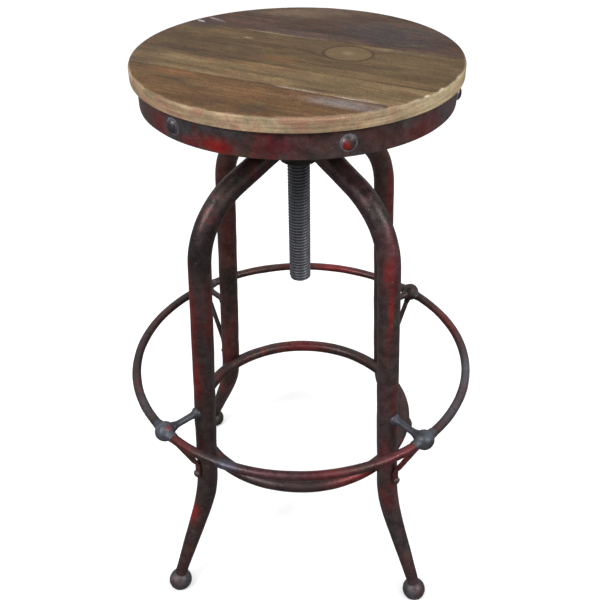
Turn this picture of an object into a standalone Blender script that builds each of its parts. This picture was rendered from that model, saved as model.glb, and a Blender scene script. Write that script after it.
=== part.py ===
"""Screw-adjustable bar stool: plank seat on a riveted steel band, four arched tube legs, two foot rings.

Metres, +Z up. The origin is on the floor under the screw's axis. The legs stand at 45, 135, 225 and
315 degrees, and the seat is wound down to its lowest place.
"""

from math import acos, atan2, ceil, cos, degrees, floor, pi, radians, sin, sqrt, tan

import bmesh
import bpy
from mathutils import Matrix, Vector

MM = 0.001

# Gaps: between faces that touch, round a shank in its hole, and in the running thread
GAP = 0.3 * MM
HOLE_GAP = 0.35 * MM
THREAD_GAP = 0.8 * MM

# Seat
SEAT_TOP = 700 * MM
SEAT_RADIUS = 178 * MM
WOOD_THICK = 16 * MM
EDGE_ROUND = 3.6 * MM
PLANK_JOINTS = (
    # (distance from the axis, direction of the joint)
    (-98 * MM, radians(-13.5)),
    (-46.5 * MM, radians(-13.5)),
    (52 * MM, radians(-11.5)),
)
SEAT_START = radians(-10.6)

# Steel band under the wood, and its rivets
BAND_RADIUS = 171.3 * MM
BAND_WALL = 3.5 * MM
BAND_DEPTH = 29 * MM
BAND_SIDES = 60
BAND_RIVETS = 6
RIVET_HEAD = 7.4 * MM
RIVET_DOME = 4.8 * MM
RIVET_SHANK = 3 * MM

# Six-armed spider under the wood
SPIDER_THICK = 4.5 * MM
SPIDER_DISC = 57 * MM
ARM_WIDTH = 24 * MM
TAB_THICK = 4 * MM
TAB_DEPTH = 22 * MM

# Flange that holds the screw to the spider
FLANGE_RADIUS = 53 * MM
FLANGE_THICK = 6 * MM
BOSS_RADIUS = 20 * MM
BOLT_CIRCLE = 42 * MM
FLANGE_BOLTS = 4

# Screw and its nut
SCREW_LOW = 413.8 * MM
SCREW_MAJOR = 13.4 * MM
SCREW_MINOR = 11.4 * MM
NECK_RADIUS = 10.9 * MM
PITCH = 4 * MM
THREAD_SIDES = 12
NUT_RADIUS = 16.65 * MM
NUT_LIP = 22 * MM
NUT_LIP_THICK = 4 * MM
WASHER_THICK = 5.6 * MM

# Hub
HUB_LOW = 577 * MM
HUB_TOP = 624 * MM
HUB_RADIUS = 28 * MM
HUB_NOSE = 22 * MM
SOCKET_FLOOR = 22 * MM

# Legs: the centreline is three straight runs, each pair joined by a bend
LEG_RADIUS = 13.2 * MM
LEG_TIP_RADIUS = 7.8 * MM
LEG_BORE = 11 * MM
LEG_SIDES = 12
LEG_START = (SOCKET_FLOOR + GAP, 606 * MM)
LEG_SHOULDER = (144.3 * MM, 554.8 * MM)
LEG_KNEE = (169.1 * MM, 147 * MM)
LEG_END = (228.2 * MM, 22.7 * MM)
SHOULDER_BEND = 93 * MM
KNEE_BEND = 180 * MM
KNEE_STEPS = 4
LEG_ANGLES = tuple(radians(a) for a in (45, 135, 225, 315))

# Feet
FOOT_REACH = 230 * MM
FOOT_RADIUS = 15.5 * MM
FOOT_HIGH = 26 * MM
FOOT_BASE = 11 * MM

# Foot rings
OUTER_RING = 220.1 * MM
OUTER_RING_Z = 289.5 * MM
OUTER_TUBE = 5.7 * MM
INNER_RING = 144.8 * MM
INNER_RING_Z = 188.6 * MM
INNER_TUBE = 8.2 * MM

# Ball joints on the outer ring, with the struts that hold them to the legs
BALL_RADIUS = 12.25 * MM
STRUT_RADIUS = 4.2 * MM
STRUT_PLUG = 3.8 * MM
STRUT_COLLAR = 6.2 * MM
PLUG_DEPTH = 3.4 * MM
BRACE_RADIUS = 3.4 * MM
TAB_HALF_WIDTH = 5.2 * MM
TAB_HALF_THICK = 1.6 * MM
BRACE_RIVET_HEAD = 5.2 * MM
BRACE_RIVET_SHANK = 2.8 * MM

# Heights that follow from the sizes above
WOOD_LOW = SEAT_TOP - WOOD_THICK
BAND_TOP = WOOD_LOW - GAP
SPIDER_LOW = BAND_TOP - SPIDER_THICK
FLANGE_TOP = SPIDER_LOW - GAP
FLANGE_LOW = FLANGE_TOP - FLANGE_THICK
NUT_TOP = HUB_TOP + GAP + NUT_LIP_THICK
WASHER_LOW = NUT_TOP + GAP
BOSS_LOW = WASHER_LOW + WASHER_THICK + GAP
BAND_FLAT = BAND_RADIUS * cos(pi / BAND_SIDES)
BAND_INNER = BAND_RADIUS - BAND_WALL
ARM_REACH = BAND_INNER * cos(pi / BAND_SIDES) - 2 * GAP


# ---------------------------------------------------------------- meshes

def loft(rings, closed=False):
    """A skin over rings of equally many points: capped at both ends, or closed round on itself."""
    bm = bmesh.new()
    loops = [[bm.verts.new(p) for p in ring] for ring in rings]
    pairs = list(zip(loops, loops[1:]))
    if closed:
        pairs.append((loops[-1], loops[0]))
    else:
        bm.faces.new(loops[0])
        bm.faces.new(loops[-1])
    for a, b in pairs:
        for i in range(len(a)):
            k = (i + 1) % len(a)
            bm.faces.new((a[i], a[k], b[k], b[i]))
    bmesh.ops.recalc_face_normals(bm, faces=bm.faces)
    return finish(bm)


def finish(bm):
    """The bmesh as a smooth-shaded mesh that keeps its edges sharp."""
    mesh = bpy.data.meshes.new("shape")
    bm.to_mesh(mesh)
    bm.free()
    mesh.shade_smooth()
    mesh.set_sharp_from_angle(angle=radians(35))
    return mesh


def circle(radius, sides, z=0.0, turn=0.0):
    steps = [turn + 2 * pi * i / sides for i in range(sides)]
    return [Vector((radius * cos(t), radius * sin(t), z)) for t in steps]


def turned(profile, sides, closed=False, turn=0.0):
    """A solid turned about Z from (radius, height) points. A closed profile leaves a bore."""
    return loft([circle(r, sides, z, turn) for r, z in profile], closed)


def along_x(profile, sides, z):
    """A solid turned about the line at height z along X, from (x, radius) points."""
    turn = pi / sides
    rings = [[(x, q.x, z + q.y) for q in circle(r, sides, 0.0, turn)] for x, r in profile]
    return loft(rings)


def in_plane(path, halves, sides):
    """A bar along (r, z) points in the XZ plane. halves gives each station's half width and thickness."""
    rings = []
    for k, (r, z) in enumerate(path):
        before, after = path[max(k - 1, 0)], path[min(k + 1, len(path) - 1)]
        slope = Vector((after[0] - before[0], after[1] - before[1])).normalized()
        wide, thick = halves[k]
        ring = []
        for q in circle(1.0, sides, 0.0, pi / sides):
            side = q.y * thick
            ring.append((r + side * slope.y, q.x * wide, z - side * slope.x))
        rings.append(ring)
    return loft(rings)


def joined(meshes):
    """Several meshes as one, for use as a cutter."""
    bm = bmesh.new()
    for mesh in meshes:
        bm.from_mesh(mesh)
    return finish(bm)


def spun(mesh, angle):
    """A copy turned about Z."""
    copy = mesh.copy()
    copy.transform(Matrix.Rotation(angle, 4, "Z"))
    return copy


def carved(mesh, cutter):
    """The mesh with the cutter taken out of it."""
    body = bpy.data.objects.new("body", mesh)
    tool = bpy.data.objects.new("tool", cutter)
    for obj in (body, tool):
        bpy.context.scene.collection.objects.link(obj)
    cut = body.modifiers.new("cut", "BOOLEAN")
    cut.operation = "DIFFERENCE"
    cut.solver = "EXACT"
    cut.object = tool
    depsgraph = bpy.context.evaluated_depsgraph_get()
    result = bpy.data.meshes.new_from_object(body.evaluated_get(depsgraph))
    for obj in (body, tool):
        bpy.data.objects.remove(obj)
    result.shade_smooth()
    result.set_sharp_from_angle(angle=radians(35))
    return result


def arc(centre, radius, start, end, steps):
    """(x, y) points on an arc, both ends included."""
    spots = [start + (end - start) * i / steps for i in range(steps + 1)]
    return [(centre[0] + radius * cos(t), centre[1] + radius * sin(t)) for t in spots]


# ---------------------------------------------------------------- placing

def material(name, colour, roughness, metallic):
    mat = bpy.data.materials.new(name)
    mat.use_nodes = True
    shader = mat.node_tree.nodes["Principled BSDF"]
    shader.inputs["Base Color"].default_value = (*colour, 1.0)
    shader.inputs["Roughness"].default_value = roughness
    shader.inputs["Metallic"].default_value = metallic
    return mat


def put(name, mesh, look, parent=None, angle=0.0):
    """One named object with its own material, turned about Z and hung on its parent."""
    obj = bpy.data.objects.new(name, mesh.copy())
    obj.data.name = name
    obj.data.materials.clear()
    obj.data.materials.append(material(name, *look))
    obj.rotation_euler.z = angle
    obj.parent = parent
    bpy.context.scene.collection.objects.link(obj)
    return obj


def axis_empty(name, height, parent=None, angle=0.0):
    """An empty on the stool's axis that the moving pieces hang on."""
    empty = bpy.data.objects.new(name, None)
    empty.location.z = height
    empty.rotation_euler.z = angle
    empty.parent = parent
    bpy.context.scene.collection.objects.link(empty)
    return empty


def lowered(mesh, height):
    """The mesh in the frame of an empty at this height."""
    mesh.transform(Matrix.Translation((0, 0, -height)))
    return mesh


# ---------------------------------------------------------------- seat

def joint_ends(radius, joint):
    """Where a joint's line meets the rim, right and left, as angles about the axis."""
    offset, direction = joint
    across = direction + pi / 2
    half = acos(offset / radius)
    return across - half, across + half


def rim_spans(radius, low, high):
    """The stretches of rim between two joints. A missing joint leaves the disc's whole end."""
    if low is None:
        right, left = joint_ends(radius, high)
        return [(left, right + 2 * pi)]
    if high is None:
        return [joint_ends(radius, low)]
    (low_right, low_left), (high_right, high_left) = joint_ends(radius, low), joint_ends(radius, high)
    return [(low_right, high_right), (high_left, low_left)]


def plank_outline(radius, low, high):
    """A board's outline at this radius, with as many points at every radius."""
    points = []
    full = rim_spans(SEAT_RADIUS, low, high)
    for (start, end), (first, last) in zip(rim_spans(radius, low, high), full):
        points += arc((0, 0), radius, start, end, max(2, ceil(degrees(last - first) / 5)))
    return points


def plank(low, high):
    """One seat board with its rim eased above and below."""
    layers = (
        (SEAT_RADIUS - 1.0 * MM, WOOD_LOW),
        (SEAT_RADIUS, WOOD_LOW + 1.2 * MM),
        (SEAT_RADIUS, SEAT_TOP - EDGE_ROUND),
        (SEAT_RADIUS - 0.3 * EDGE_ROUND, SEAT_TOP - 0.3 * EDGE_ROUND),
        (SEAT_RADIUS - EDGE_ROUND, SEAT_TOP),
    )
    return loft([[(x, y, z) for x, y in plank_outline(radius, low, high)] for radius, z in layers])


def wood_screw_spots():
    """Where the eight wood screws stand: (arm, distance from the axis)."""
    return ((0, 130), (1, 120), (2, 120), (3, 130), (4, 70), (4, 130), (5, 100), (5, 153))


def wood_screw():
    """Pan head under the spider's arm, with a pointed shank up into the board."""
    head_low = SPIDER_LOW - GAP - 2.6 * MM
    profile = (
        (2.6 * MM, head_low),
        (4 * MM, head_low + 1.2 * MM),
        (4 * MM, SPIDER_LOW - GAP),
        (2 * MM, SPIDER_LOW - GAP),
        (2 * MM, WOOD_LOW + 9 * MM),
        (0.6 * MM, WOOD_LOW + 12 * MM),
    )
    return turned(profile, 8)


def screw_holes(radius, low, high):
    """Upright holes at every wood screw, in the seat's frame."""
    holes = []
    for arm, reach in wood_screw_spots():
        at = arm * 2 * pi / BAND_RIVETS
        x, y = reach * MM * cos(at), reach * MM * sin(at)
        hole = turned(((radius, low), (radius, high)), 8)
        hole.transform(Matrix.Translation((x, y, 0)) @ Matrix.Rotation(at, 4, "Z"))
        holes.append(hole)
    return holes


def beside(joint, shift):
    """The line beside a joint that a board's edge lies on."""
    return joint and (joint[0] + shift, joint[1])


def make_planks(axis, height):
    looks = ((0.24, 0.15, 0.07), (0.27, 0.19, 0.10), (0.22, 0.16, 0.09), (0.15, 0.11, 0.08))
    edges = (None, *PLANK_JOINTS, None)
    holes = screw_holes(2 * MM + HOLE_GAP, WOOD_LOW - 1 * MM, WOOD_LOW + 12.5 * MM)
    for k, look in enumerate(looks):
        board = carved(plank(beside(edges[k], GAP / 2), beside(edges[k + 1], -GAP / 2)), joined(holes))
        put(f"seat_plank_{k + 1}", lowered(board, height), (look, 0.6, 0.0), axis)


def make_band(axis, height):
    """The steel band with a drilled hole at each rivet."""
    low = WOOD_LOW - BAND_DEPTH
    profile = ((BAND_INNER, low), (BAND_RADIUS, low), (BAND_RADIUS, BAND_TOP), (BAND_INNER, BAND_TOP))
    ring = turned(profile, BAND_SIDES, closed=True, turn=pi / BAND_SIDES)
    band = carved(ring, joined(rivet_holes()))
    put("apron_band", lowered(band, height), ((0.10, 0.035, 0.03), 0.42, 0.7), axis)


def rivet_height():
    return WOOD_LOW - BAND_DEPTH / 2


def rivet_holes():
    """Holes through the band and the spider's tabs."""
    span = ((150 * MM, RIVET_SHANK + HOLE_GAP), (180 * MM, RIVET_SHANK + HOLE_GAP))
    hole = along_x(span, 8, rivet_height())
    return [spun(hole, k * 2 * pi / BAND_RIVETS) for k in range(BAND_RIVETS)]


def make_band_rivets(axis, height):
    """Domed rivets, headed outside the band and inside the tab."""
    seat = BAND_FLAT + GAP
    back = ARM_REACH - TAB_THICK - GAP
    dome = [(seat + RIVET_DOME * sin(t), RIVET_HEAD * cos(t)) for t in (0.35, 0.8, 1.25)]
    profile = (
        (back - 2.2 * MM, 3 * MM),
        (back - 1.4 * MM, 4.6 * MM),
        (back, 4.6 * MM),
        (back, RIVET_SHANK),
        (seat, RIVET_SHANK),
        (seat, RIVET_HEAD),
        *dome,
    )
    rivet = lowered(along_x(profile, 8, rivet_height()), height)
    for k in range(BAND_RIVETS):
        look = ((0.09, 0.04, 0.035), 0.4, 0.8)
        put(f"apron_rivet_{k + 1}", rivet, look, axis, k * 2 * pi / BAND_RIVETS)


def spider_outline():
    """Round the star: each arm's two inner and two outer corners, then the disc's arc to the next."""
    half = ARM_WIDTH / 2
    root = sqrt(SPIDER_DISC**2 - half**2)
    step = 2 * pi / BAND_RIVETS
    lean = atan2(half, root)
    points = []
    for k in range(BAND_RIVETS):
        turn = Matrix.Rotation(k * step, 2)
        corners = (
            (root, -half),
            (ARM_REACH - TAB_THICK, -half),
            (ARM_REACH, -half),
            (ARM_REACH, half),
            (ARM_REACH - TAB_THICK, half),
            (root, half),
        )
        points += [turn @ Vector(c) for c in corners]
        middle = arc((0, 0), SPIDER_DISC, k * step + lean, (k + 1) * step - lean, 3)[1:-1]
        points += [Vector(p) for p in middle]
    return points


def make_spider(axis, height):
    """A flat six-armed plate whose arm ends turn down as tabs inside the band."""
    outline = spider_outline()
    per_arm = len(outline) // BAND_RIVETS
    bm = bmesh.new()
    top = [bm.verts.new((p.x, p.y, BAND_TOP)) for p in outline]
    low = [bm.verts.new((p.x, p.y, SPIDER_LOW)) for p in outline]
    bm.faces.new(top)
    count = len(outline)
    for i in range(count):
        bm.faces.new((top[i], low[i], low[(i + 1) % count], top[(i + 1) % count]))
    inner = [v for i, v in enumerate(low) if i % per_arm not in (2, 3)]
    bm.faces.new(inner)
    roots = [bm.faces.new(low[k * per_arm + 1:k * per_arm + 5]) for k in range(BAND_RIVETS)]
    bmesh.ops.recalc_face_normals(bm, faces=bm.faces)
    tabs = bmesh.ops.extrude_discrete_faces(bm, faces=roots)["faces"]
    drop = Vector((0, 0, SPIDER_THICK - TAB_DEPTH))
    bmesh.ops.translate(bm, verts=[v for f in tabs for v in f.verts], vec=drop)
    holes = screw_holes(2 * MM + HOLE_GAP, SPIDER_LOW - MM, BAND_TOP + MM)
    cutter = joined(holes + rivet_holes() + bolt_holes(SPIDER_LOW - MM, BAND_TOP + MM))
    star = carved(finish(bm), cutter)
    put("seat_spider", lowered(star, height), ((0.07, 0.06, 0.06), 0.5, 0.8), axis)


def make_wood_screws(axis, height):
    for k, (arm, reach) in enumerate(wood_screw_spots()):
        screw = put(f"wood_screw_{k + 1}", wood_screw(), ((0.35, 0.33, 0.30), 0.35, 1.0), axis)
        at = arm * 2 * pi / BAND_RIVETS
        screw.location = (reach * MM * cos(at), reach * MM * sin(at), -height)
        screw.rotation_euler.z = at


# ---------------------------------------------------------------- screw, flange and nut

def bolt_holes(low, high):
    """Upright holes on the flange's bolt circle."""
    span = ((2.8 * MM + HOLE_GAP, low), (2.8 * MM + HOLE_GAP, high))
    hole = turned(span, 8)
    hole.transform(Matrix.Translation((BOLT_CIRCLE, 0, 0)))
    return [spun(hole, bolt_angle(k)) for k in range(FLANGE_BOLTS)]


def bolt_angle(k):
    """Bolts stand clear of the arms' wood screws."""
    return radians(30) + k * 2 * pi / FLANGE_BOLTS


def pin_height():
    return (BOSS_LOW + FLANGE_LOW) / 2


def pin_hole(radius):
    return along_x(((-30 * MM, radius), (30 * MM, radius)), 8, pin_height())


def make_flange(axis, height):
    """Round plate with a boss below it, bored for the screw's neck."""
    bore = NECK_RADIUS + HOLE_GAP
    profile = (
        (bore, BOSS_LOW),
        (BOSS_RADIUS - MM, BOSS_LOW),
        (BOSS_RADIUS, BOSS_LOW + MM),
        (BOSS_RADIUS, FLANGE_LOW - 4 * MM),
        (BOSS_RADIUS + 4 * MM, FLANGE_LOW),
        (FLANGE_RADIUS, FLANGE_LOW),
        (FLANGE_RADIUS, FLANGE_TOP),
        (bore, FLANGE_TOP),
    )
    cutter = joined(bolt_holes(FLANGE_LOW - MM, FLANGE_TOP + MM) + [pin_hole(2.5 * MM + HOLE_GAP)])
    flange = carved(turned(profile, 24, closed=True), cutter)
    put("seat_flange", lowered(flange, height), ((0.08, 0.07, 0.07), 0.45, 0.9), axis)


def make_flange_bolts(axis, height):
    """Hexagon-headed bolts up through the flange into the spider."""
    head_top = FLANGE_LOW - GAP
    bolt_top = BAND_TOP - 0.5 * MM
    profile = (
        (5 * MM, head_top - 4 * MM),
        (5 * MM, head_top),
        (2.8 * MM, head_top),
        (2.8 * MM, bolt_top - MM),
        (2 * MM, bolt_top),
    )
    heads = [circle(r, 8, z) for r, z in profile]
    for k in range(FLANGE_BOLTS):
        bolt = put(f"flange_bolt_{k + 1}", loft(heads), ((0.3, 0.29, 0.28), 0.35, 1.0), axis)
        at = bolt_angle(k)
        bolt.location = (BOLT_CIRCLE * cos(at), BOLT_CIRCLE * sin(at), -height)
        bolt.rotation_euler.z = at


def make_pin(axis, height):
    """Cross pin that locks the screw's neck in the boss."""
    reach = BOSS_RADIUS - 0.8 * MM
    body = 2.5 * MM
    profile = (
        (-reach, body - 0.6 * MM),
        (-reach + 0.6 * MM, body),
        (reach - 0.6 * MM, body),
        (reach, body - 0.6 * MM),
    )
    pin = lowered(along_x(profile, 8, pin_height()), height)
    put("boss_pin", pin, ((0.3, 0.3, 0.3), 0.35, 1.0), axis)


def thread_skin(minor, major, low, high):
    """A right-hand screw surface about Z, cut square at both ends and capped."""
    form = ((0.0, minor), (0.5, major))
    turns = ceil((high - low) / PITCH) + 4
    start = (floor(low / PITCH) - 2) * PITCH
    bm = bmesh.new()
    columns = []
    for i in range(THREAD_SIDES):
        t = 2 * pi * i / THREAD_SIDES
        rise = start + PITCH * i / THREAD_SIDES
        spots = [(r, rise + PITCH * (n + p)) for n in range(turns) for p, r in form]
        columns.append([bm.verts.new((r * cos(t), r * sin(t), z)) for r, z in spots])
    for i, column in enumerate(columns):
        last = i == THREAD_SIDES - 1
        after = columns[0][len(form):] if last else columns[i + 1]
        for k in range(min(len(column), len(after)) - 1):
            bm.faces.new((column[k], after[k], after[k + 1], column[k + 1]))
    for z, side in ((low, -1), (high, 1)):
        geometry = bm.verts[:] + bm.edges[:] + bm.faces[:]
        plane = {"plane_co": (0, 0, z), "plane_no": (0, 0, side)}
        bmesh.ops.bisect_plane(bm, geom=geometry, dist=1e-7, clear_outer=True, **plane)
        rim = [e for e in bm.edges if e.is_boundary and all(abs(v.co.z - z) < 1e-6 for v in e.verts)]
        bmesh.ops.edgeloop_fill(bm, edges=rim)
    bmesh.ops.recalc_face_normals(bm, faces=bm.faces)
    return bm


def cap_at(bm, z):
    """The flat end face at this height."""
    bm.faces.ensure_lookup_table()
    flat = [f for f in bm.faces if all(abs(v.co.z - z) < 1e-6 for v in f.verts)]
    return max(flat, key=lambda f: f.calc_area())


def grow_cap(bm, face, steps):
    """Carry an end face on through (height, radius) steps, round from the first one."""
    for z, radius in steps:
        face = bmesh.ops.extrude_discrete_faces(bm, faces=[face])["faces"][0]
        for v in face.verts:
            flat = Vector((v.co.x, v.co.y)).normalized() * radius
            v.co = (flat.x, flat.y, z)


def make_screw(axis, height):
    """Threaded rod with a blunt lower end and a plain neck that is pinned in the boss."""
    thread_low = SCREW_LOW + 3 * MM
    thread_high = BOSS_LOW - 2 * MM
    bm = thread_skin(SCREW_MINOR, SCREW_MAJOR, thread_low, thread_high)
    tip = ((SCREW_LOW + 1.5 * MM, SCREW_MINOR - 0.4 * MM), (SCREW_LOW, SCREW_MINOR - 3 * MM))
    grow_cap(bm, cap_at(bm, thread_low), tip)
    neck = ((thread_high + MM, NECK_RADIUS), (FLANGE_TOP - MM, NECK_RADIUS))
    grow_cap(bm, cap_at(bm, thread_high), neck)
    bmesh.ops.recalc_face_normals(bm, faces=bm.faces)
    screw = carved(finish(bm), pin_hole(2.5 * MM + HOLE_GAP))
    put("height_screw", lowered(screw, height), ((0.16, 0.17, 0.18), 0.35, 1.0), axis)


def make_nut():
    """Threaded bush with a lip that sits on the hub."""
    low = HUB_LOW - 2.5 * MM
    profile = (
        (5 * MM, low),
        (NUT_RADIUS - 1.2 * MM, low),
        (NUT_RADIUS, low + 1.2 * MM),
        (NUT_RADIUS, HUB_TOP + GAP),
        (NUT_LIP, HUB_TOP + GAP),
        (NUT_LIP, NUT_TOP - MM),
        (NUT_LIP - MM, NUT_TOP),
        (5 * MM, NUT_TOP),
    )
    thread = thread_skin(
        SCREW_MINOR + THREAD_GAP, SCREW_MAJOR + THREAD_GAP, low - 3 * MM, NUT_TOP + 3 * MM
    )
    nut = carved(turned(profile, 24), finish(thread))
    put("hub_nut", nut, ((0.18, 0.15, 0.11), 0.4, 1.0))


def make_washer(axis, height):
    """Thrust washer between the boss and the nut's lip."""
    inner, outer = SCREW_MAJOR + MM, BOSS_RADIUS + MM
    high = WASHER_LOW + WASHER_THICK
    profile = (
        (inner, WASHER_LOW),
        (outer - MM, WASHER_LOW),
        (outer, WASHER_LOW + MM),
        (outer, high - MM),
        (outer - MM, high),
        (inner, high),
    )
    washer = lowered(turned(profile, 20, closed=True), height)
    put("thrust_washer", washer, ((0.02, 0.02, 0.02), 0.6, 0.0), axis)


# ---------------------------------------------------------------- frame

def bend(before, corner, after, radius, steps):
    """Points on the round of this radius that replaces a corner."""
    corner = Vector(corner)
    back = (Vector(before) - corner).normalized()
    ahead = (Vector(after) - corner).normalized()
    half = back.angle(ahead) / 2
    centre = corner + (back + ahead).normalized() * radius / sin(half)
    start = corner + back * radius / tan(half) - centre
    end = corner + ahead * radius / tan(half) - centre
    first, last = atan2(start.y, start.x), atan2(end.y, end.x)
    swing = (last - first + pi) % (2 * pi) - pi
    return arc(centre, radius, first, first + swing, steps)


def leg_path():
    """The leg's centreline from the hub to the foot as (r, z) points."""
    shoulder = bend(LEG_START, LEG_SHOULDER, LEG_KNEE, SHOULDER_BEND, 7)
    knee = bend(LEG_SHOULDER, LEG_KNEE, LEG_END, KNEE_BEND, KNEE_STEPS)
    return [LEG_START, *shoulder, *knee, LEG_END]


def leg_radius(z):
    """Full size down to the knee, then tapering to the foot."""
    share = (LEG_KNEE[1] - z) / (LEG_KNEE[1] - LEG_END[1])
    return LEG_RADIUS + (LEG_TIP_RADIUS - LEG_RADIUS) * max(0.0, share)


def leg_line(z):
    """The centreline's distance from the axis on the long straight run."""
    share = (LEG_SHOULDER[1] - z) / (LEG_SHOULDER[1] - LEG_KNEE[1])
    return LEG_SHOULDER[0] + share * (LEG_KNEE[0] - LEG_SHOULDER[0])


def section(path, k, radius, sides):
    """A round ring square to the path at its k-th point."""
    before, after = path[max(k - 1, 0)], path[min(k + 1, len(path) - 1)]
    slope = Vector((after[0] - before[0], after[1] - before[1])).normalized()
    r, z = path[k]
    return [(r + q.y * slope.y, q.x, z - q.y * slope.x) for q in circle(radius, sides)]


def leg():
    """Bent tube, open at the hub, with a solid tapered lower end."""
    path = leg_path()
    knee = len(path) - KNEE_STEPS - 2
    bore = [section(path, k, LEG_BORE, LEG_SIDES) for k in range(knee, -1, -1)]
    outside = [section(path, k, leg_radius(p[1]), LEG_SIDES) for k, p in enumerate(path)]
    strut = STRUT_PLUG + HOLE_GAP
    rivet = BRACE_RIVET_SHANK + HOLE_GAP
    upper_span = ((leg_line(OUTER_RING_Z), strut), (190 * MM, strut))
    lower_span = ((140 * MM, rivet), (200 * MM, rivet))
    holes = [along_x(upper_span, 8, OUTER_RING_Z), along_x(lower_span, 8, INNER_RING_Z)]
    return carved(loft(bore + outside), joined(holes))


def make_hub():
    """Turned hub: a round nose below and a socket for each leg."""
    bore = NUT_RADIUS + HOLE_GAP
    profile = (
        (bore, HUB_LOW),
        (HUB_NOSE - 2 * MM, HUB_LOW),
        (HUB_NOSE, HUB_LOW + 3 * MM),
        (HUB_NOSE, HUB_LOW + 9 * MM),
        (HUB_RADIUS, HUB_LOW + 14 * MM),
        (HUB_RADIUS, HUB_TOP - 3 * MM),
        (HUB_RADIUS - 3 * MM, HUB_TOP),
        (bore, HUB_TOP),
    )
    path = leg_path()
    wide = LEG_RADIUS + HOLE_GAP
    floor = [(p[0] - GAP, p[1], p[2]) for p in section(path, 0, wide, LEG_SIDES)]
    socket = loft([floor, section(path, 1, wide, LEG_SIDES)])
    sockets = [spun(socket, angle) for angle in LEG_ANGLES]
    hub = carved(turned(profile, 24, closed=True), joined(sockets))
    put("hub", hub, ((0.07, 0.055, 0.05), 0.45, 0.85))


def make_legs():
    shape = leg()
    for k, angle in enumerate(LEG_ANGLES):
        put(f"leg_{k + 1}", shape, ((0.09, 0.045, 0.04), 0.42, 0.8), None, angle)


def make_feet():
    """Ball feet with a flat base, socketed on the legs' tapered ends."""
    middle = FOOT_HIGH - FOOT_RADIUS
    spots = (0.3, 0.75, 1.2)
    upper = [(FOOT_RADIUS * cos(t), middle + FOOT_RADIUS * sin(t)) for t in spots]
    profile = ((FOOT_BASE, 0.0), (FOOT_RADIUS - 1.6 * MM, 4 * MM), (FOOT_RADIUS, 8.5 * MM), *upper)
    ball = turned(profile, 14)
    ball.transform(Matrix.Translation((FOOT_REACH, 0, 0)))
    path = leg_path()
    last = len(path) - 1
    away = Vector(LEG_END) - Vector(LEG_KNEE)
    deeper = Vector(LEG_END) + away.normalized() * GAP
    path[last] = tuple(deeper)
    sides = LEG_SIDES
    socket = loft([
        section(path, last - 1, leg_radius(path[last - 1][1]) + HOLE_GAP, sides),
        section(path, last, LEG_TIP_RADIUS + HOLE_GAP, sides),
    ])
    foot = carved(ball, socket)
    for k, angle in enumerate(LEG_ANGLES):
        put(f"foot_{k + 1}", foot, ((0.17, 0.17, 0.18), 0.38, 1.0), None, angle)


def torus(radius, z, tube, around, sides):
    rings = []
    for i in range(around):
        t = 2 * pi * i / around
        ring = circle(tube, sides, 0.0, pi / sides)
        rings.append([((radius + q.x) * cos(t), (radius + q.x) * sin(t), z + q.y) for q in ring])
    return loft(rings, closed=True)


def make_rings():
    """The outer foot ring and the stouter inner ring, drilled where the brace rivets end."""
    outer = torus(OUTER_RING, OUTER_RING_Z, OUTER_TUBE, 64, 8)
    put("outer_ring", outer, ((0.08, 0.05, 0.05), 0.4, 0.85))
    shank = BRACE_RIVET_SHANK + HOLE_GAP
    span = ((INNER_RING - 2.5 * MM, shank), (INNER_RING + 20 * MM, shank))
    hole = along_x(span, 8, INNER_RING_Z)
    holes = joined([spun(hole, angle) for angle in LEG_ANGLES])
    inner = carved(torus(INNER_RING, INNER_RING_Z, INNER_TUBE, 40, 8), holes)
    put("inner_ring", inner, ((0.08, 0.04, 0.04), 0.42, 0.85))


def brace_line():
    """Unit vector from the ball's centre down to the brace's tab."""
    tab_top = brace_tab()[0]
    return (Vector(tab_top) - Vector((OUTER_RING, OUTER_RING_Z))).normalized()


def brace_tab():
    """(r, z) points down the middle of the flat tab, a gap clear of the leg's outer face."""
    stand_off = LEG_RADIUS + TAB_HALF_THICK + 1.5 * GAP
    heights = [INNER_RING_Z + rise * MM for rise in (15, 7.5, -4, -7)]
    points = [(leg_line(z) + stand_off, z) for z in heights]
    swell = BRACE_RADIUS - TAB_HALF_THICK
    return [(points[0][0] + swell, points[0][1]), *points[1:]]


def make_balls():
    """Ball joints, drilled for the ring, the strut and the brace."""
    spots = [radians(a) for a in range(-75, 76, 25)]
    profile = [(BALL_RADIUS * cos(t), BALL_RADIUS * sin(t)) for t in spots]
    ball = turned(profile, 12, turn=pi / 12)
    ball.transform(Matrix.Translation((OUTER_RING, 0, OUTER_RING_Z)))
    bore = OUTER_TUBE + HOLE_GAP
    rings = []
    for step in (-1, 0, 1):
        t = step * 2 * pi / 64
        ring = circle(bore, 8, 0.0, pi / 8)
        spot = [((OUTER_RING + q.x) * cos(t), (OUTER_RING + q.x) * sin(t)) for q in ring]
        rings.append([(x, y, OUTER_RING_Z + q.y) for (x, y), q in zip(spot, ring)])
    strut = STRUT_PLUG + HOLE_GAP
    floor = OUTER_RING - BALL_RADIUS + PLUG_DEPTH + GAP
    strut_hole = along_x(((floor - 20 * MM, strut), (floor, strut)), 8, OUTER_RING_Z)
    centre = Vector((OUTER_RING, OUTER_RING_Z))
    near = centre + brace_line() * (BALL_RADIUS - PLUG_DEPTH - GAP)
    far = centre + brace_line() * (BALL_RADIUS + 15 * MM)
    wide = BRACE_RADIUS + HOLE_GAP
    brace_hole = in_plane([tuple(near), tuple(far)], [(wide, wide)] * 2, 8)
    ball = carved(ball, joined([loft(rings), strut_hole, brace_hole]))
    for k, angle in enumerate(LEG_ANGLES):
        put(f"ring_ball_{k + 1}", ball, ((0.15, 0.15, 0.16), 0.38, 1.0), None, angle)


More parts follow.
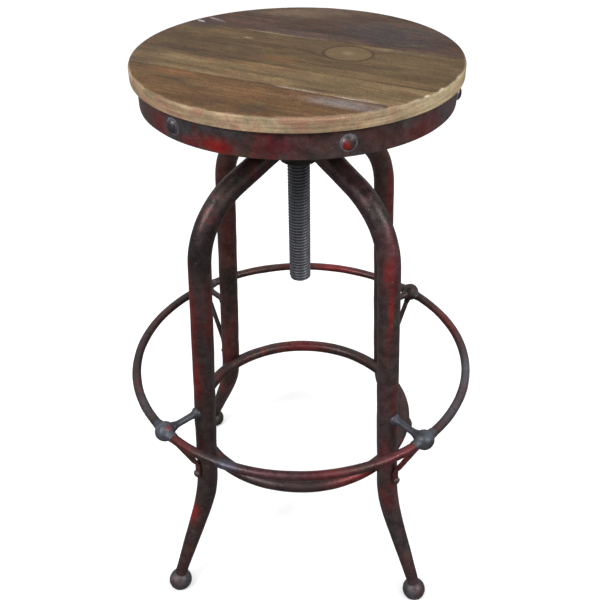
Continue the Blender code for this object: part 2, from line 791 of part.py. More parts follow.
def make_struts():
    """Level struts, let into leg and ball, with a collar at each end."""
    face = leg_line(OUTER_RING_Z) + LEG_RADIUS
    ball = OUTER_RING - BALL_RADIUS
    profile = (
        (face - 1.6 * MM, STRUT_PLUG),
        (face + 1.5 * GAP, STRUT_PLUG),
        (face + 1.5 * GAP, STRUT_COLLAR),
        (face + 2.6 * MM, 0.8 * STRUT_COLLAR),
        (face + 6 * MM, STRUT_RADIUS),
        (ball - 5.5 * MM, STRUT_RADIUS),
        (ball - 2.4 * MM, 0.8 * STRUT_COLLAR),
        (ball - GAP, STRUT_COLLAR - 0.4 * MM),
        (ball - GAP, STRUT_PLUG),
        (ball + PLUG_DEPTH, STRUT_PLUG),
    )
    strut = along_x(profile, 8, OUTER_RING_Z)
    for k, angle in enumerate(LEG_ANGLES):
        put(f"upper_strut_{k + 1}", strut, ((0.09, 0.06, 0.06), 0.42, 0.85), None, angle)


def make_braces():
    """Slanting braces: a round bar from the ball that ends in a flat riveted tab on the leg."""
    centre = Vector((OUTER_RING, OUTER_RING_Z))
    tab = brace_tab()
    top = centre + brace_line() * (BALL_RADIUS - PLUG_DEPTH)
    reach = (Vector(tab[0]) - centre).length
    low = centre + brace_line() * (reach - 5 * MM)
    path = [tuple(top), tuple(low), *tab]
    round_bar = (BRACE_RADIUS, BRACE_RADIUS)
    flat_bar = (TAB_HALF_WIDTH, TAB_HALF_THICK)
    halves = (
        round_bar,
        round_bar,
        (BRACE_RADIUS + 0.8 * MM, BRACE_RADIUS - 0.8 * MM),
        flat_bar,
        flat_bar,
        (TAB_HALF_WIDTH - 2 * MM, TAB_HALF_THICK),
    )
    shank = BRACE_RIVET_SHANK + HOLE_GAP
    hole = along_x(((tab[1][0] - 8 * MM, shank), (tab[1][0] + 8 * MM, shank)), 8, INNER_RING_Z)
    brace = carved(in_plane(path, halves, 8), hole)
    for k, angle in enumerate(LEG_ANGLES):
        put(f"lower_brace_{k + 1}", brace, ((0.09, 0.06, 0.06), 0.42, 0.85), None, angle)


def make_brace_rivets():
    """Rivets through tab and leg into the inner ring."""
    face = leg_line(INNER_RING_Z) + LEG_RADIUS + 2 * TAB_HALF_THICK + 3 * GAP
    profile = (
        (INNER_RING - 2.2 * MM, BRACE_RIVET_SHANK),
        (face, BRACE_RIVET_SHANK),
        (face, BRACE_RIVET_HEAD),
        (face + 1.8 * MM, 0.9 * BRACE_RIVET_HEAD),
        (face + 3.2 * MM, 0.6 * BRACE_RIVET_HEAD),
        (face + 3.8 * MM, 0.2 * BRACE_RIVET_HEAD),
    )
    rivet = along_x(profile, 8, INNER_RING_Z)
    for k, angle in enumerate(LEG_ANGLES):
        put(f"brace_rivet_{k + 1}", rivet, ((0.14, 0.12, 0.12), 0.4, 0.9), None, angle)


def clear_scene():
    for obj in list(bpy.data.objects):
        bpy.data.objects.remove(obj)


def build():
    clear_scene()
    make_hub()
    make_nut()
    make_legs()
    make_feet()
    make_rings()
    make_balls()
    make_struts()
    make_braces()
    make_brace_rivets()
    height_axis = axis_empty("seat_height_axis", WASHER_LOW)
    turn_axis = axis_empty("seat_turn_axis", 0.0, height_axis, SEAT_START)
    make_washer(height_axis, WASHER_LOW)
    for make in (make_screw, make_flange, make_flange_bolts, make_pin, make_spider,
                 make_wood_screws, make_planks, make_band, make_band_rivets):
        make(turn_axis, WASHER_LOW)


build()
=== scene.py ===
"""Looks of the screw-adjustable bar stool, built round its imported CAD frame. Metres, +Z up.

Every piece rides on the CAD body that it belongs to. Heights and radii come from the CAD nodes'
boxes where a box gives them, and from the named sizes below where it doesn't.
"""
from math import atan2, ceil, cos, exp, hypot, pi, radians, sin, sqrt, tan

import bmesh
import bpy
from mathutils import Matrix, Vector, noise


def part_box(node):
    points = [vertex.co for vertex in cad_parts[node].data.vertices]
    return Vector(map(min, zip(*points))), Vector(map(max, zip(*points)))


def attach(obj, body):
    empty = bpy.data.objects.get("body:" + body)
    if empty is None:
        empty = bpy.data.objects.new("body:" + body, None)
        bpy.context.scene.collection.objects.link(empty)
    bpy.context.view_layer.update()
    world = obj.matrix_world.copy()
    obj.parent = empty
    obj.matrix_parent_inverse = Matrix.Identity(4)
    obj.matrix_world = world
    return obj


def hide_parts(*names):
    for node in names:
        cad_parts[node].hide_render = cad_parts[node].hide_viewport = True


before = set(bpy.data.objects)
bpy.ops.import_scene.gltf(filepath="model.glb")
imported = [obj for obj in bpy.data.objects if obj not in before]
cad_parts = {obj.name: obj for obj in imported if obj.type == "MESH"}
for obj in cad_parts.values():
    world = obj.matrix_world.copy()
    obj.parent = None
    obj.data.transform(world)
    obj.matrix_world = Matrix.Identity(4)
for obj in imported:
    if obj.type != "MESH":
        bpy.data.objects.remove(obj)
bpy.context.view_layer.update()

MM = 0.001
UP = Vector((0, 0, 1))

# Camera: where it stands, which way it looks, and the small shift of its frame
CAMERA_AT = (0.05584, -0.84110, 0.97052)
CAMERA_HEADING = radians(3.205)
CAMERA_DOWN = radians(35.233)
CAMERA_ROLL = radians(0.40)
CAMERA_LENS = 47.776
CAMERA_SHIFT = (-0.01206, 0.00360)


def low(node):
    return Vector(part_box(node)[0])


def high(node):
    return Vector(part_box(node)[1])


# Seat
SEAT_TOP = high("seat_plank_3").z
WOOD_LOW = low("seat_plank_3").z
SEAT_RADIUS = 178 * MM
SEAT_START = radians(-10.6)
EDGE_ROUND = 4.0 * MM
TIGHT = 0.01 * MM  # the gap between boards below their eased edges
RIM_WEAR = 0.35 * MM
PLANK_JOINTS = (
    # (distance from the axis, direction of the joint), in the turned seat
    (-98 * MM, radians(-13.5)),
    (-46.5 * MM, radians(-13.5)),
    (52 * MM, radians(-11.5)),
)
GRAIN = SEAT_START + radians(-13.5)
JOINT = SEAT_START + radians(-11.5)
KNOT_AT = (54 * MM, -2 * MM)
SCRATCH = 3  # a stain this many mm wide or less is a scratch
WORN_SIDE = (146 * MM, -102 * MM)
BAND_RADIUS = 171.3 * MM
BAND_WALL = 3.5 * MM
BAND_TOP = high("apron_band").z
BAND_LOW = low("apron_band").z
RIVETS = 6
RED_RIVETS = (2, 5)
RIVET_HEAD = 7.4 * MM
RIVET_DOME = 4.4 * MM
RIVET_RIM = 8.0 * MM
RIVET_Z = WOOD_LOW - 14.5 * MM

# Screw
SCREW_LOW = low("height_screw").z
THREAD_TOP = low("seat_flange").z - 2 * MM
SCREW_MAJOR = 13.4 * MM
SCREW_MINOR = 11.6 * MM
PITCH = 4 * MM
TIP_ROUND = 5 * MM
TIP_CORE = 4 * MM

# Hub and legs: (distance from the axis, height) along a leg
HUB_TOP = high("hub").z
HUB_LOW = low("hub").z
HUB_RADIUS = high("hub").x
NUT_RADIUS = 17 * MM
LEG_RADIUS = 13.2 * MM
LEG_TIP_RADIUS = 7.8 * MM
LEG_START = (22.3 * MM, 606 * MM)
LEG_SHOULDER = (144.3 * MM, 554.8 * MM)
LEG_KNEE = (169.1 * MM, 147 * MM)
LEG_END = (228.2 * MM, 22.7 * MM)
SHOULDER_BEND = 93 * MM
KNEE_BEND = 180 * MM
LEG_ANGLES = [radians(a) for a in (45, 135, 225, 315)]
BACK_LEGS = 2  # the first two legs stand at the back
FOOT_REACH = 230 * MM
FOOT_RADIUS = 15.5 * MM
FOOT_HIGH = high("foot_1").z

# Foot rings and their joints
OUTER_RING = 220.1 * MM
OUTER_TUBE = 5.7 * MM
OUTER_Z = (high("outer_ring").z + low("outer_ring").z) / 2
INNER_RING = 144.8 * MM
INNER_TUBE = 8.2 * MM
INNER_Z = (high("inner_ring").z + low("inner_ring").z) / 2
BALL_RADIUS = 12.25 * MM
STRUT_RADIUS = 4.2 * MM
BRACE_RADIUS = 3.4 * MM
TAB_HALF_WIDTH = 5.2 * MM
TAB_HALF_THICK = 1.6 * MM
TAB_TAIL = 7.5 * MM
BRACE_RIVET_HEAD = 5.2 * MM
BRACE_RIVET_DOME = 3.6 * MM

# Fasteners under the seat
BOLT_COUNT = 4
WOOD_SCREW_COUNT = 8

# Studio
WHITE = (1, 1, 1, 1)
FLOOR_REACH = 40.0
FLOOR_GLOW = 0.22
LAMP_SIZE = 0.5
LAMP_AIM = (0, 0, 0.4)
ROOM_LEVEL = (-0.4, 0.85, 0.15, 0.90)  # heights where it is dimmest and brightest, and both strengths


# -------- meshes

def circle(count):
    """Angles at even steps round a circle."""
    return [2 * pi * i / count for i in range(count)]


def mesh_from(points, faces, sharp=40):
    """A smooth-shaded mesh with its faces out and its edges kept."""
    mesh = bpy.data.meshes.new("piece")
    mesh.from_pydata([tuple(p) for p in points], [], faces)
    bm = bmesh.new()
    bm.from_mesh(mesh)
    bmesh.ops.recalc_face_normals(bm, faces=bm.faces)
    bm.to_mesh(mesh)
    bm.free()
    mesh.shade_smooth()
    mesh.set_sharp_from_angle(angle=radians(sharp))
    return mesh


def loft(rings, closed=False, sharp=40):
    """A skin over rings of equally many points: capped at both ends, or closed round on itself."""
    count = len(rings[0])
    points = [p for ring in rings for p in ring]
    faces = []
    steps = len(rings) if closed else len(rings) - 1
    for k in range(steps):
        a, b = k * count, (k + 1) % len(rings) * count
        faces += [(a + i, a + (i + 1) % count, b + (i + 1) % count, b + i) for i in range(count)]
    if not closed:
        faces.append(tuple(range(count)))
        faces.append(tuple(range(len(points) - count, len(points))))
    return mesh_from(points, faces, sharp)


def uneven(spot, size, seed=0.0):
    """A smooth value from -1 to 1 that changes over about this size."""
    return noise.noise(Vector(spot) / size + Vector((seed, 0.7 * seed, 0)))


def sweep(path, halves, side, sides=32, rough=0.0, size=30 * MM, seed=0.0):
    """A bar along a path in the plane square to side. halves gives half width and half thickness."""
    rings = []
    for k, spot in enumerate(path):
        ahead = (path[min(k + 1, len(path) - 1)] - path[max(k - 1, 0)]).normalized()
        over = side.cross(ahead)
        wide, thick = halves[k]
        ring = []
        for t in circle(sides):
            point = spot + side * wide * cos(t) + over * thick * sin(t)
            dent = rough * uneven(point, size, seed)
            ring.append(point + (point - spot).normalized() * dent)
        rings.append(ring)
    return loft(rings)


def turned(profile, sides, closed=False, sharp=40, wave=None):
    """A solid turned about Z from (radius, height) points.

    wave(angle, radius, height) adds to the radius.
    """
    rings = []
    for r, z in profile:
        ring = []
        for t in circle(sides):
            reach = r + (wave(t, r, z) if wave else 0.0)
            ring.append((reach * cos(t), reach * sin(t), z))
        rings.append(ring)
    return loft(rings, closed, sharp)


def torus(radius, z, tube, around, sides, rough, seed):
    rings = []
    for t in circle(around):
        out = out_at(t)
        ring = []
        for turn in circle(sides):
            middle = out * radius + UP * z
            way = out * cos(turn) + UP * sin(turn)
            spot = middle + way * tube
            ring.append(spot + way * rough * uneven(spot, 28 * MM, seed))
        rings.append(ring)
    return loft(rings, closed=True)


def placed(mesh, at, axis=None):
    """The mesh with its Z laid along an axis, then moved."""
    lay = axis.to_track_quat("Z", "Y").to_matrix().to_4x4() if axis else Matrix()
    mesh.transform(Matrix.Translation(at) @ lay)
    return mesh


def bend(before, corner, after, radius, steps):
    """Points on the round of this radius that replaces a corner."""
    corner = Vector(corner)
    back = (Vector(before) - corner).normalized()
    ahead = (Vector(after) - corner).normalized()
    half = back.angle(ahead) / 2
    centre = corner + (back + ahead).normalized() * radius / sin(half)
    start = corner + back * radius / tan(half) - centre
    end = corner + ahead * radius / tan(half) - centre
    first, last = atan2(start.y, start.x), atan2(end.y, end.x)
    swing = (last - first + pi) % (2 * pi) - pi
    turns = [first + swing * i / steps for i in range(steps + 1)]
    return [centre + radius * Vector((cos(t), sin(t))) for t in turns]


def spaced(path, step):
    """The path with points added so that none are more than a step apart."""
    points = [Vector(path[0])]
    for a, b in zip(path, path[1:]):
        a, b = Vector(a), Vector(b)
        parts = max(1, ceil((b - a).length / step))
        points += [a.lerp(b, (i + 1) / parts) for i in range(parts)]
    return points


def out_at(angle):
    return Vector((cos(angle), sin(angle), 0))


def side_at(angle):
    return Vector((-sin(angle), cos(angle), 0))


def polar(angle, radius, z):
    """The point at this angle, distance from the axis and height."""
    return out_at(angle) * radius + UP * z


def upright(points, angle):
    """(r, z) points in the upright plane at this angle."""
    return [polar(angle, r, z) for r, z in points]


def leg_line(z):
    """The leg's distance from the axis on its long straight run."""
    share = (LEG_SHOULDER[1] - z) / (LEG_SHOULDER[1] - LEG_KNEE[1])
    return LEG_SHOULDER[0] + share * (LEG_KNEE[0] - LEG_SHOULDER[0])


# -------- materials

def tint(red, green, blue):
    """A colour given in 8-bit display values, as the shader wants it."""
    parts = [v / 255 for v in (red, green, blue)]
    return (*[p / 12.92 if p < 0.04045 else ((p + 0.055) / 1.055) ** 2.4 for p in parts], 1.0)


class Nodes:
    """Short ways to add to a node tree."""

    def __init__(self, tree):
        self.tree = tree

    def feed(self, socket, value):
        if isinstance(value, bpy.types.NodeSocket):
            self.tree.links.new(value, socket)
        else:
            socket.default_value = value

    def add(self, kind, *values, **settings):
        """A node with these settings, and these values or links in its first sockets."""
        node = self.tree.nodes.new("ShaderNode" + kind)
        for key, value in settings.items():
            setattr(node, key, value)
        for socket, value in zip(node.inputs, values):
            self.feed(socket, value)
        return node

    def wire(self, node, inputs):
        """Values or links in a node's sockets, by name or number."""
        for key, value in inputs.items():
            self.feed(node.inputs[key], value)
        return node

    def maths(self, operation, *values):
        return self.add("Math", *values, operation=operation).outputs[0]

    def plus(self, *values):
        return self.maths("ADD", *values)

    def times(self, *values):
        return self.maths("MULTIPLY", *values)

    def apart(self, *values):
        """How far apart two values are."""
        return self.maths("ABSOLUTE", self.maths("SUBTRACT", *values))

    def vector(self, operation, *values):
        node = self.add("VectorMath", *values, operation=operation)
        return node.outputs["Value" if operation == "LENGTH" else "Vector"]

    def fade(self, value, start, end, first=0.0, last=1.0):
        """From first to last as a value goes from start to end."""
        ends = (value, start, end, first, last)
        return self.add("MapRange", *ends, interpolation_type="SMOOTHSTEP").outputs[0]


class Look(Nodes):
    """A Principled material."""

    def __init__(self, name, metallic):
        self.material = bpy.data.materials.new(name)
        self.material.use_nodes = True
        super().__init__(self.material.node_tree)
        self.shader = self.tree.nodes["Principled BSDF"]
        self.wire(self.shader, {"Metallic": metallic})
        self.here = self.add("TexCoord").outputs["Object"]

    def spot(self, at=(0, 0, 0), turn=0.0, size=(1, 1, 1)):
        """Object coordinates from a spot, along axes turned about Z, in units of size."""
        place = (self.here, at, (0, 0, turn), size)
        return self.add("Mapping", *place, vector_type="TEXTURE").outputs[0]

    def near(self, at, size, turn=0.0):
        """Distance from a spot, in units of size."""
        return self.vector("LENGTH", self.spot(at, turn, size))

    def reach(self):
        """Distance from the upright axis."""
        return self.vector("LENGTH", self.vector("MULTIPLY", self.here, (1, 1, 0)))

    def noise(self, where, scale, detail=5.0, rough=0.6, twist=0.0):
        texture = {"Scale": scale, "Detail": detail, "Roughness": rough, "Distortion": twist}
        return self.wire(self.add("TexNoise", where), texture).outputs["Fac"]

    def vary(self, texture, first, last):
        """From first to last over the middle of a noise's range."""
        return self.fade(texture, 0.3, 0.7, first, last)

    def swing(self, texture, amount):
        """Noise centred on 0, times an amount."""
        return self.times(self.maths("SUBTRACT", texture, 0.5), amount)

    def mix(self, share, a, b):
        return self.wire(self.add("Mix", share, data_type="RGBA"), {6: a, 7: b}).outputs[2]

    def lay(self, colour, over, value, start, end, strength=1.0):
        """A second colour laid over the first as a value goes from start to end."""
        return self.mix(self.fade(value, start, end, 0.0, strength), colour, over)

    def shade(self, colour, amount):
        """The colour made lighter or darker by a number."""
        return self.wire(self.add("VectorMath", colour, operation="SCALE"), {"Scale": amount}).outputs[0]

    def bump(self, *layers):
        """Relief from (height, depth) layers. Each depth is in metres."""
        normal = None
        for height, depth in layers:
            below = {"Normal": normal} if normal else {}
            node = self.wire(self.add("Bump"), {"Height": height, "Distance": depth, **below})
            normal = node.outputs[0]
        self.wire(self.shader, {"Normal": normal})

    def done(self, colour, rough):
        self.wire(self.shader, {"Base Color": colour, "Roughness": rough})
        return self.material


GUNMETAL = tint(84, 80, 82)
SOOT = tint(60, 52, 49)
BROWN = tint(94, 64, 58)
BLUE_STEEL = tint(112, 118, 130)
OXBLOOD = tint(134, 44, 46)
SIGNAL_RED = tint(196, 32, 26)
# Pale steel: rubbed paint, and the painted highlight in the rings round rivets
RUBBED_AND_SHEEN = tint(168, 166, 172)
SATIN = (0.24, 0.42)
DULL = (0.36, 0.52)


def steel(name, ground, rust, share, seed, patches=(), rings=(), paint=OXBLOOD, rubs=0.25,
          metallic=0.5, rough=SATIN):
    """Old painted steel: a dark ground, rust-brown clouds, and worn paint over a share of it.

    patches are (at, size, colour, strength) places with more colour. rings are (at, radius, strength)
    pale circles at a raised edge: paint rubbed off by the part beside this one, and a painted highlight.
    """
    look = Look(name, metallic)
    here = look.spot(at=(0.31 * seed, 0.17 * seed, 0.07 * seed))
    cloud = look.noise(here, 16.0, 6.0, 0.62, 0.4)
    mottle = look.noise(here, 85.0, 6.0, 0.65)
    grain = look.noise(here, 380.0, 4.0, 0.7)
    speck = look.noise(here, 900.0, 2.0, 0.6)
    stipple = look.swing(grain, 1.6)
    long_way = look.spot(at=(0.13 * seed, 0.29 * seed, 0.0), size=(1, 1, 3.2))
    streak = look.noise(long_way, 30.0, 5.0, 0.55, 0.5)
    colour = look.lay(ground, rust, cloud, 0.36, 0.64)
    worn = look.plus(streak, look.times(stipple, 0.28))
    colour = look.lay(colour, paint, worn, 0.64 - 0.3 * share, 0.90 - 0.3 * share, 0.9)
    ragged = look.swing(mottle, 1.4)
    for at, size, extra, strength in patches:
        near = look.plus(look.plus(look.near(at, size), ragged), stipple)
        colour = look.lay(colour, extra, near, 1.35, 0.15, strength)
    broken = look.fade(streak, 0.42, 0.56, 0.5, 1.0)
    # Pale rings at raised edges: rubbed paint, and a painted highlight
    for at, radius, strength in rings:
        off = look.apart(look.near(at, (radius, radius, radius)), 1.0)
        off = look.plus(off, look.times(stipple, 0.06))
        bright = look.times(look.fade(off, 0.16, 0.02, 0.0, strength), broken)
        colour = look.mix(bright, colour, RUBBED_AND_SHEEN)
    colour = look.lay(colour, SOOT, grain, 0.56, 0.74, 0.6)
    colour = look.lay(colour, RUBBED_AND_SHEEN, grain, 0.40, 0.26, rubs)
    colour = look.shade(colour, look.vary(mottle, 0.70, 1.30))
    look.bump((cloud, 1.2 * MM), (mottle, 0.6 * MM), (grain, 0.34 * MM), (speck, 0.09 * MM))
    return look.done(colour, look.vary(mottle, *rough))


def bare_steel(name, seed, patches=()):
    return steel(name, tint(98, 105, 117), tint(76, 76, 82), 0.05, seed, patches, rubs=0.4, rough=DULL)


def patch(at, right, back, up, *paint):
    """A place of other colour on steel, used for worn paint, painted shade and painted highlight: its
    half sizes in mm, then its colour and strength.
    """
    return (tuple(at), (right * MM, back * MM, up * MM), *paint)


# -------- placing

def in_scene(name, data):
    piece = bpy.data.objects.new(name, data)
    bpy.context.scene.collection.objects.link(piece)
    return piece


def show(name, mesh, material, body, slot, *nodes):
    """One visible piece that rides on a body and stands for CAD nodes, which it hides. slot is not used.
    """
    piece = in_scene(name, mesh)
    mesh.name = name
    mesh.materials.append(material)
    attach(piece, body)
    if nodes:
        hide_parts(*nodes)


def repaint(node, material, edge=0.5 * MM):
    """A CAD node that stays, with a better material and its edges eased."""
    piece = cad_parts[node]
    for k in range(max(1, len(piece.material_slots))):
        if not piece.material_slots:
            piece.data.materials.append(material)
        piece.material_slots[k].link = "OBJECT"
        piece.material_slots[k].material = material
    ease = piece.modifiers.new("ease", "BEVEL")
    ease.width = edge
    ease.segments = 2
    ease.limit_method = "ANGLE"
    ease.angle_limit = radians(35)


# -------- seat boards

def chord(radius, offset, direction):
    """Where a line across the disc meets its rim, left and right."""
    along, across = out_at(direction), side_at(direction)
    half = sqrt(max(radius**2 - offset**2, 0.0))
    return across * offset - along * half, across * offset + along * half


def board_rows(radius, inset, below, above, rows, columns):
    """Points over one board: rows run along the grain from rim to rim."""
    last = 0.9997 * radius
    grid = []
    for j in range(rows + 1):
        share = j / rows
        if below is None:
            share = 1 - cos(share * pi / 2)
            start, end = (-last, above[1]), (above[0] - inset, above[1])
        elif above is None:
            share = sin(share * pi / 2)
            start, end = (below[0] + inset, below[1]), (last, below[1])
        else:
            start, end = (below[0] + inset, below[1]), (above[0] - inset, above[1])
        offset = start[0] + share * (end[0] - start[0])
        turn = SEAT_START + start[1] + share * (end[1] - start[1])
        left, right = chord(radius, offset, turn)
        grid.append([left.lerp(right, i / columns) for i in range(columns + 1)])
    return grid


def around(grid):
    """The outline of a grid of points, in order."""
    return (
        grid[0][:-1]
        + [row[-1] for row in grid[:-1]]
        + grid[-1][:0:-1]
        + [row[0] for row in grid[:0:-1]]
    )


def seat_relief(spot):
    """How far the worn top stands above or below flat."""
    along = spot.x * cos(GRAIN) + spot.y * sin(GRAIN)
    across = -spot.x * sin(GRAIN) + spot.y * cos(GRAIN)
    fibre = noise.noise(Vector((along / (70 * MM), across / (2.6 * MM), 3.0)))
    swell = noise.noise(Vector((along / (130 * MM), across / (34 * MM), 8.0)))
    knot = hypot(spot.x - KNOT_AT[0], spot.y - KNOT_AT[1]) / (25 * MM)
    return 0.10 * MM * fibre + 0.30 * MM * swell + 0.35 * MM * exp(-knot**4) - 0.35 * MM


def board_mesh(below, above):
    """One board: a worn top, eased rim, plain side and flat underside."""
    wide = (above[0] if above else SEAT_RADIUS) - (below[0] if below else -SEAT_RADIUS)
    rows, columns = ceil(wide / (1.7 * MM)), 116
    top = board_rows(SEAT_RADIUS - EDGE_ROUND, 0.55 * MM, below, above, rows, columns)
    points = [spot + UP * (SEAT_TOP + seat_relief(spot)) for row in top for spot in row]
    width = columns + 1
    faces = []
    for j in range(rows):
        faces += [(j * width + i, j * width + i + 1, (j + 1) * width + i + 1, (j + 1) * width + i)
                  for i in range(columns)]
    ids = [[j * width + i for i in range(width)] for j in range(rows + 1)]
    loop = around(ids)
    layers = (
        # (rim radius, inset at the joints, height)
        (SEAT_RADIUS - 0.55 * EDGE_ROUND, 0.20 * MM, SEAT_TOP - 0.16 * EDGE_ROUND - 0.1 * MM),
        (SEAT_RADIUS - 0.22 * EDGE_ROUND, 0.10 * MM, SEAT_TOP - 0.45 * EDGE_ROUND),
        (SEAT_RADIUS, TIGHT, SEAT_TOP - EDGE_ROUND),
        (SEAT_RADIUS, TIGHT, SEAT_TOP - 0.4 * (SEAT_TOP - WOOD_LOW)),
        (SEAT_RADIUS, TIGHT, WOOD_LOW + 1.4 * MM),
        (SEAT_RADIUS - 0.4 * MM, TIGHT, WOOD_LOW + 0.4 * MM),
        (SEAT_RADIUS - 1.4 * MM, TIGHT, WOOD_LOW),
    )
    for radius, inset, z in layers:
        ring = around(board_rows(radius, inset, below, above, rows, columns))
        first = len(points)
        for spot in ring:
            at = spot + UP * z
            on_rim = spot.length > radius - 0.1 * MM and z > WOOD_LOW + 0.5 * MM
            worn = 0.22 * MM * uneven(at, 26 * MM, 5.0) + 0.06 * MM * uneven(at, 6 * MM, 2.0)
            points.append(at + spot.normalized() * (worn - RIM_WEAR if on_rim else 0.0))
        count = len(ring)
        new = list(range(first, first + count))
        faces += [(loop[i], loop[(i + 1) % count], new[(i + 1) % count], new[i]) for i in range(count)]
        loop = new
    faces.append(tuple(loop))
    return mesh_from(points, faces, sharp=55)


def grain_flow(look, here, knot, seed):
    """Coordinates along the grain, which wanders, and bows round the knot."""
    wide = look.spot(at=(seed, 0, 0), turn=GRAIN, size=(0.30, 0.05, 0.05))
    wander = look.times(look.noise(wide, 1.0, 3.0), 0.03)
    bow = look.fade(knot, 2.6, 0.9, 0.0, 0.006)
    shift = look.add("CombineXYZ", 0.0, look.plus(bow, wander))
    return look.vector("ADD", here, shift.outputs[0])


def stains_and_painted_shade(look, colour, here, pores, blots):
    """Adds stains with ragged edges, scratches broken into flecks, and painted shade over the left end
    of the board.
    """
    ragged = look.swing(look.noise(here, 75.0, 4.0, 0.65), 0.9)
    flecks = look.fade(pores, 0.38, 0.50, 0.35, 1.0)
    # The last mark is the painted shade at the board's left end
    for x, y, long, wide, turn, stain_and_shade, strength in (*blots, LEFT_END_PAINTED_SHADE):
        near = look.near((x * MM, y * MM, SEAT_TOP), (long * MM, wide * MM, 0.05), turn)
        if min(long, wide) > SCRATCH:
            share = look.fade(look.plus(near, ragged), 1.25, 0.25, 0.0, strength)
        else:
            share = look.times(look.fade(near, 1.15, 0.5, 0.0, strength), flecks)
        colour = look.mix(share, colour, stain_and_shade)
    return colour


def rimmed(look, colour, here, cloud, pores):
    """Adds the pale layered rim, and chips along its top edge at the worn side."""
    normal = look.add("NewGeometry").outputs["Normal"]
    slope = look.add("SeparateXYZ", normal).outputs["Z"]
    outside = look.fade(look.reach(), SEAT_RADIUS - 6 * MM, SEAT_RADIUS - 4 * MM)
    rosy = look.noise(here, 60.0, 4.0, 0.6)
    worn = look.near((*WORN_SIDE, WOOD_LOW), (0.075, 0.075, 0.075))
    layers = look.noise(look.vector("MULTIPLY", look.here, (22.0, 22.0, 420.0)), 1.0, 4.0, 0.65)
    rim = look.mix(look.fade(cloud, 0.35, 0.65), tint(188, 163, 131), tint(160, 136, 107))
    rim = look.lay(rim, tint(164, 118, 100), rosy, 0.48, 0.62, 0.65)
    rim = look.lay(rim, tint(130, 124, 100), rosy, 0.46, 0.34, 0.5)
    rim = look.lay(rim, tint(206, 190, 150), worn, 1.2, 0.4, 0.45)
    rim = look.shade(rim, look.fade(layers, 0.32, 0.68, 0.72, 1.22))
    rim = look.shade(rim, look.fade(pores, 0.28, 0.72, 0.86, 1.14))
    colour = look.mix(look.times(outside, look.fade(slope, 0.94, 0.45)), colour, rim)
    corner = look.apart(slope, 0.75)
    edge = look.times(look.fade(corner, 0.26, 0.05), outside)
    chips = look.times(look.fade(rosy, 0.44, 0.58), look.fade(worn, 0.75, 0.35, 0.10, 0.9))
    return look.mix(look.times(edge, chips), colour, tint(214, 204, 184))


def knotted(look, colour, knot):
    """Adds the round knot: dark outline, paler inside, a pale heart."""
    inside = look.fade(knot, 1.02, 0.85, 0.0, 0.42)
    colour = look.mix(inside, colour, tint(122, 100, 70))
    heart = look.fade(knot, 0.40, 0.05, 0.0, 0.5)
    colour = look.mix(heart, colour, tint(142, 122, 98))
    wobble = look.times(look.noise(look.here, 90.0, 3.0), 9.0)
    rings = look.maths("SINE", look.plus(look.times(knot, 24.0), wobble))
    colour = look.shade(colour, look.fade(look.times(rings, inside), -1.0, 1.0, 0.94, 1.05))
    outer = look.apart(knot, 1.0)
    return look.lay(colour, tint(58, 44, 31), outer, 0.12, 0.01, 0.66)


def wood(name, dark, mid, light, blots, seed, has_knot):
    """A worn board: long grain, darker and lighter bands, stains, painted shade at its left end, and a
    pale rim.
    """
    look = Look(name, 0.0)
    here = look.spot(at=(0.11 * seed, 0.37 * seed, 0), turn=GRAIN)
    knot = look.near((*KNOT_AT, SEAT_TOP), (0.027, 0.024, 0.2), GRAIN)
    flow = grain_flow(look, here, knot, seed)

    def grain(along, across, *texture):
        return look.noise(look.vector("MULTIPLY", flow, (along, across, across)), 1.0, *texture)

    bands = grain(3.5, 42.0, 4.0, 0.55, 0.3)
    lines = grain(9.0, 240.0, 5.0, 0.65)
    fibre = grain(130.0, 1100.0, 3.0, 0.6)
    drift = grain(26.0, 60.0, 4.0, 0.7)
    dapple = grain(28.0, 95.0, 4.0, 0.65)
    pores = look.noise(here, 520.0, 3.0, 0.7)
    cloud = look.noise(here, 22.0, 4.0, 0.55)
    colour = look.lay(dark, light, bands, 0.34, 0.66)
    colour = look.mix(look.vary(cloud, 0.25, 0.75), colour, mid)
    colour = stains_and_painted_shade(look, colour, here, pores, blots)
    colour = look.lay(colour, tint(116, 76, 54), drift, 0.52, 0.68, 0.28)
    colour = look.lay(colour, tint(98, 92, 60), drift, 0.46, 0.32, 0.35)
    colour = look.shade(colour, look.vary(dapple, 0.80, 1.18))
    colour = look.shade(colour, look.fade(lines, 0.28, 0.72, 0.72, 1.24))
    colour = look.shade(colour, look.fade(fibre, 0.25, 0.75, 0.80, 1.20))
    colour = look.shade(colour, look.fade(pores, 0.28, 0.72, 0.72, 1.26))
    colour = rimmed(look, colour, here, cloud, pores)
    if has_knot:
        colour = knotted(look, colour, knot)
    look.bump((lines, 0.25 * MM), (fibre, 0.10 * MM), (bands, 0.4 * MM))
    look.wire(look.shader, {"Specular IOR Level": 0.16})
    return look.done(colour, look.vary(lines, 0.56, 0.72))


PURPLE = tint(72, 58, 58)
BLUE_BLACK = tint(66, 58, 60)
ORANGE = tint(140, 96, 60)
UMBER = tint(72, 56, 42)
PALE_RUB = tint(150, 136, 122)
WORN_WHITE = tint(196, 190, 190)
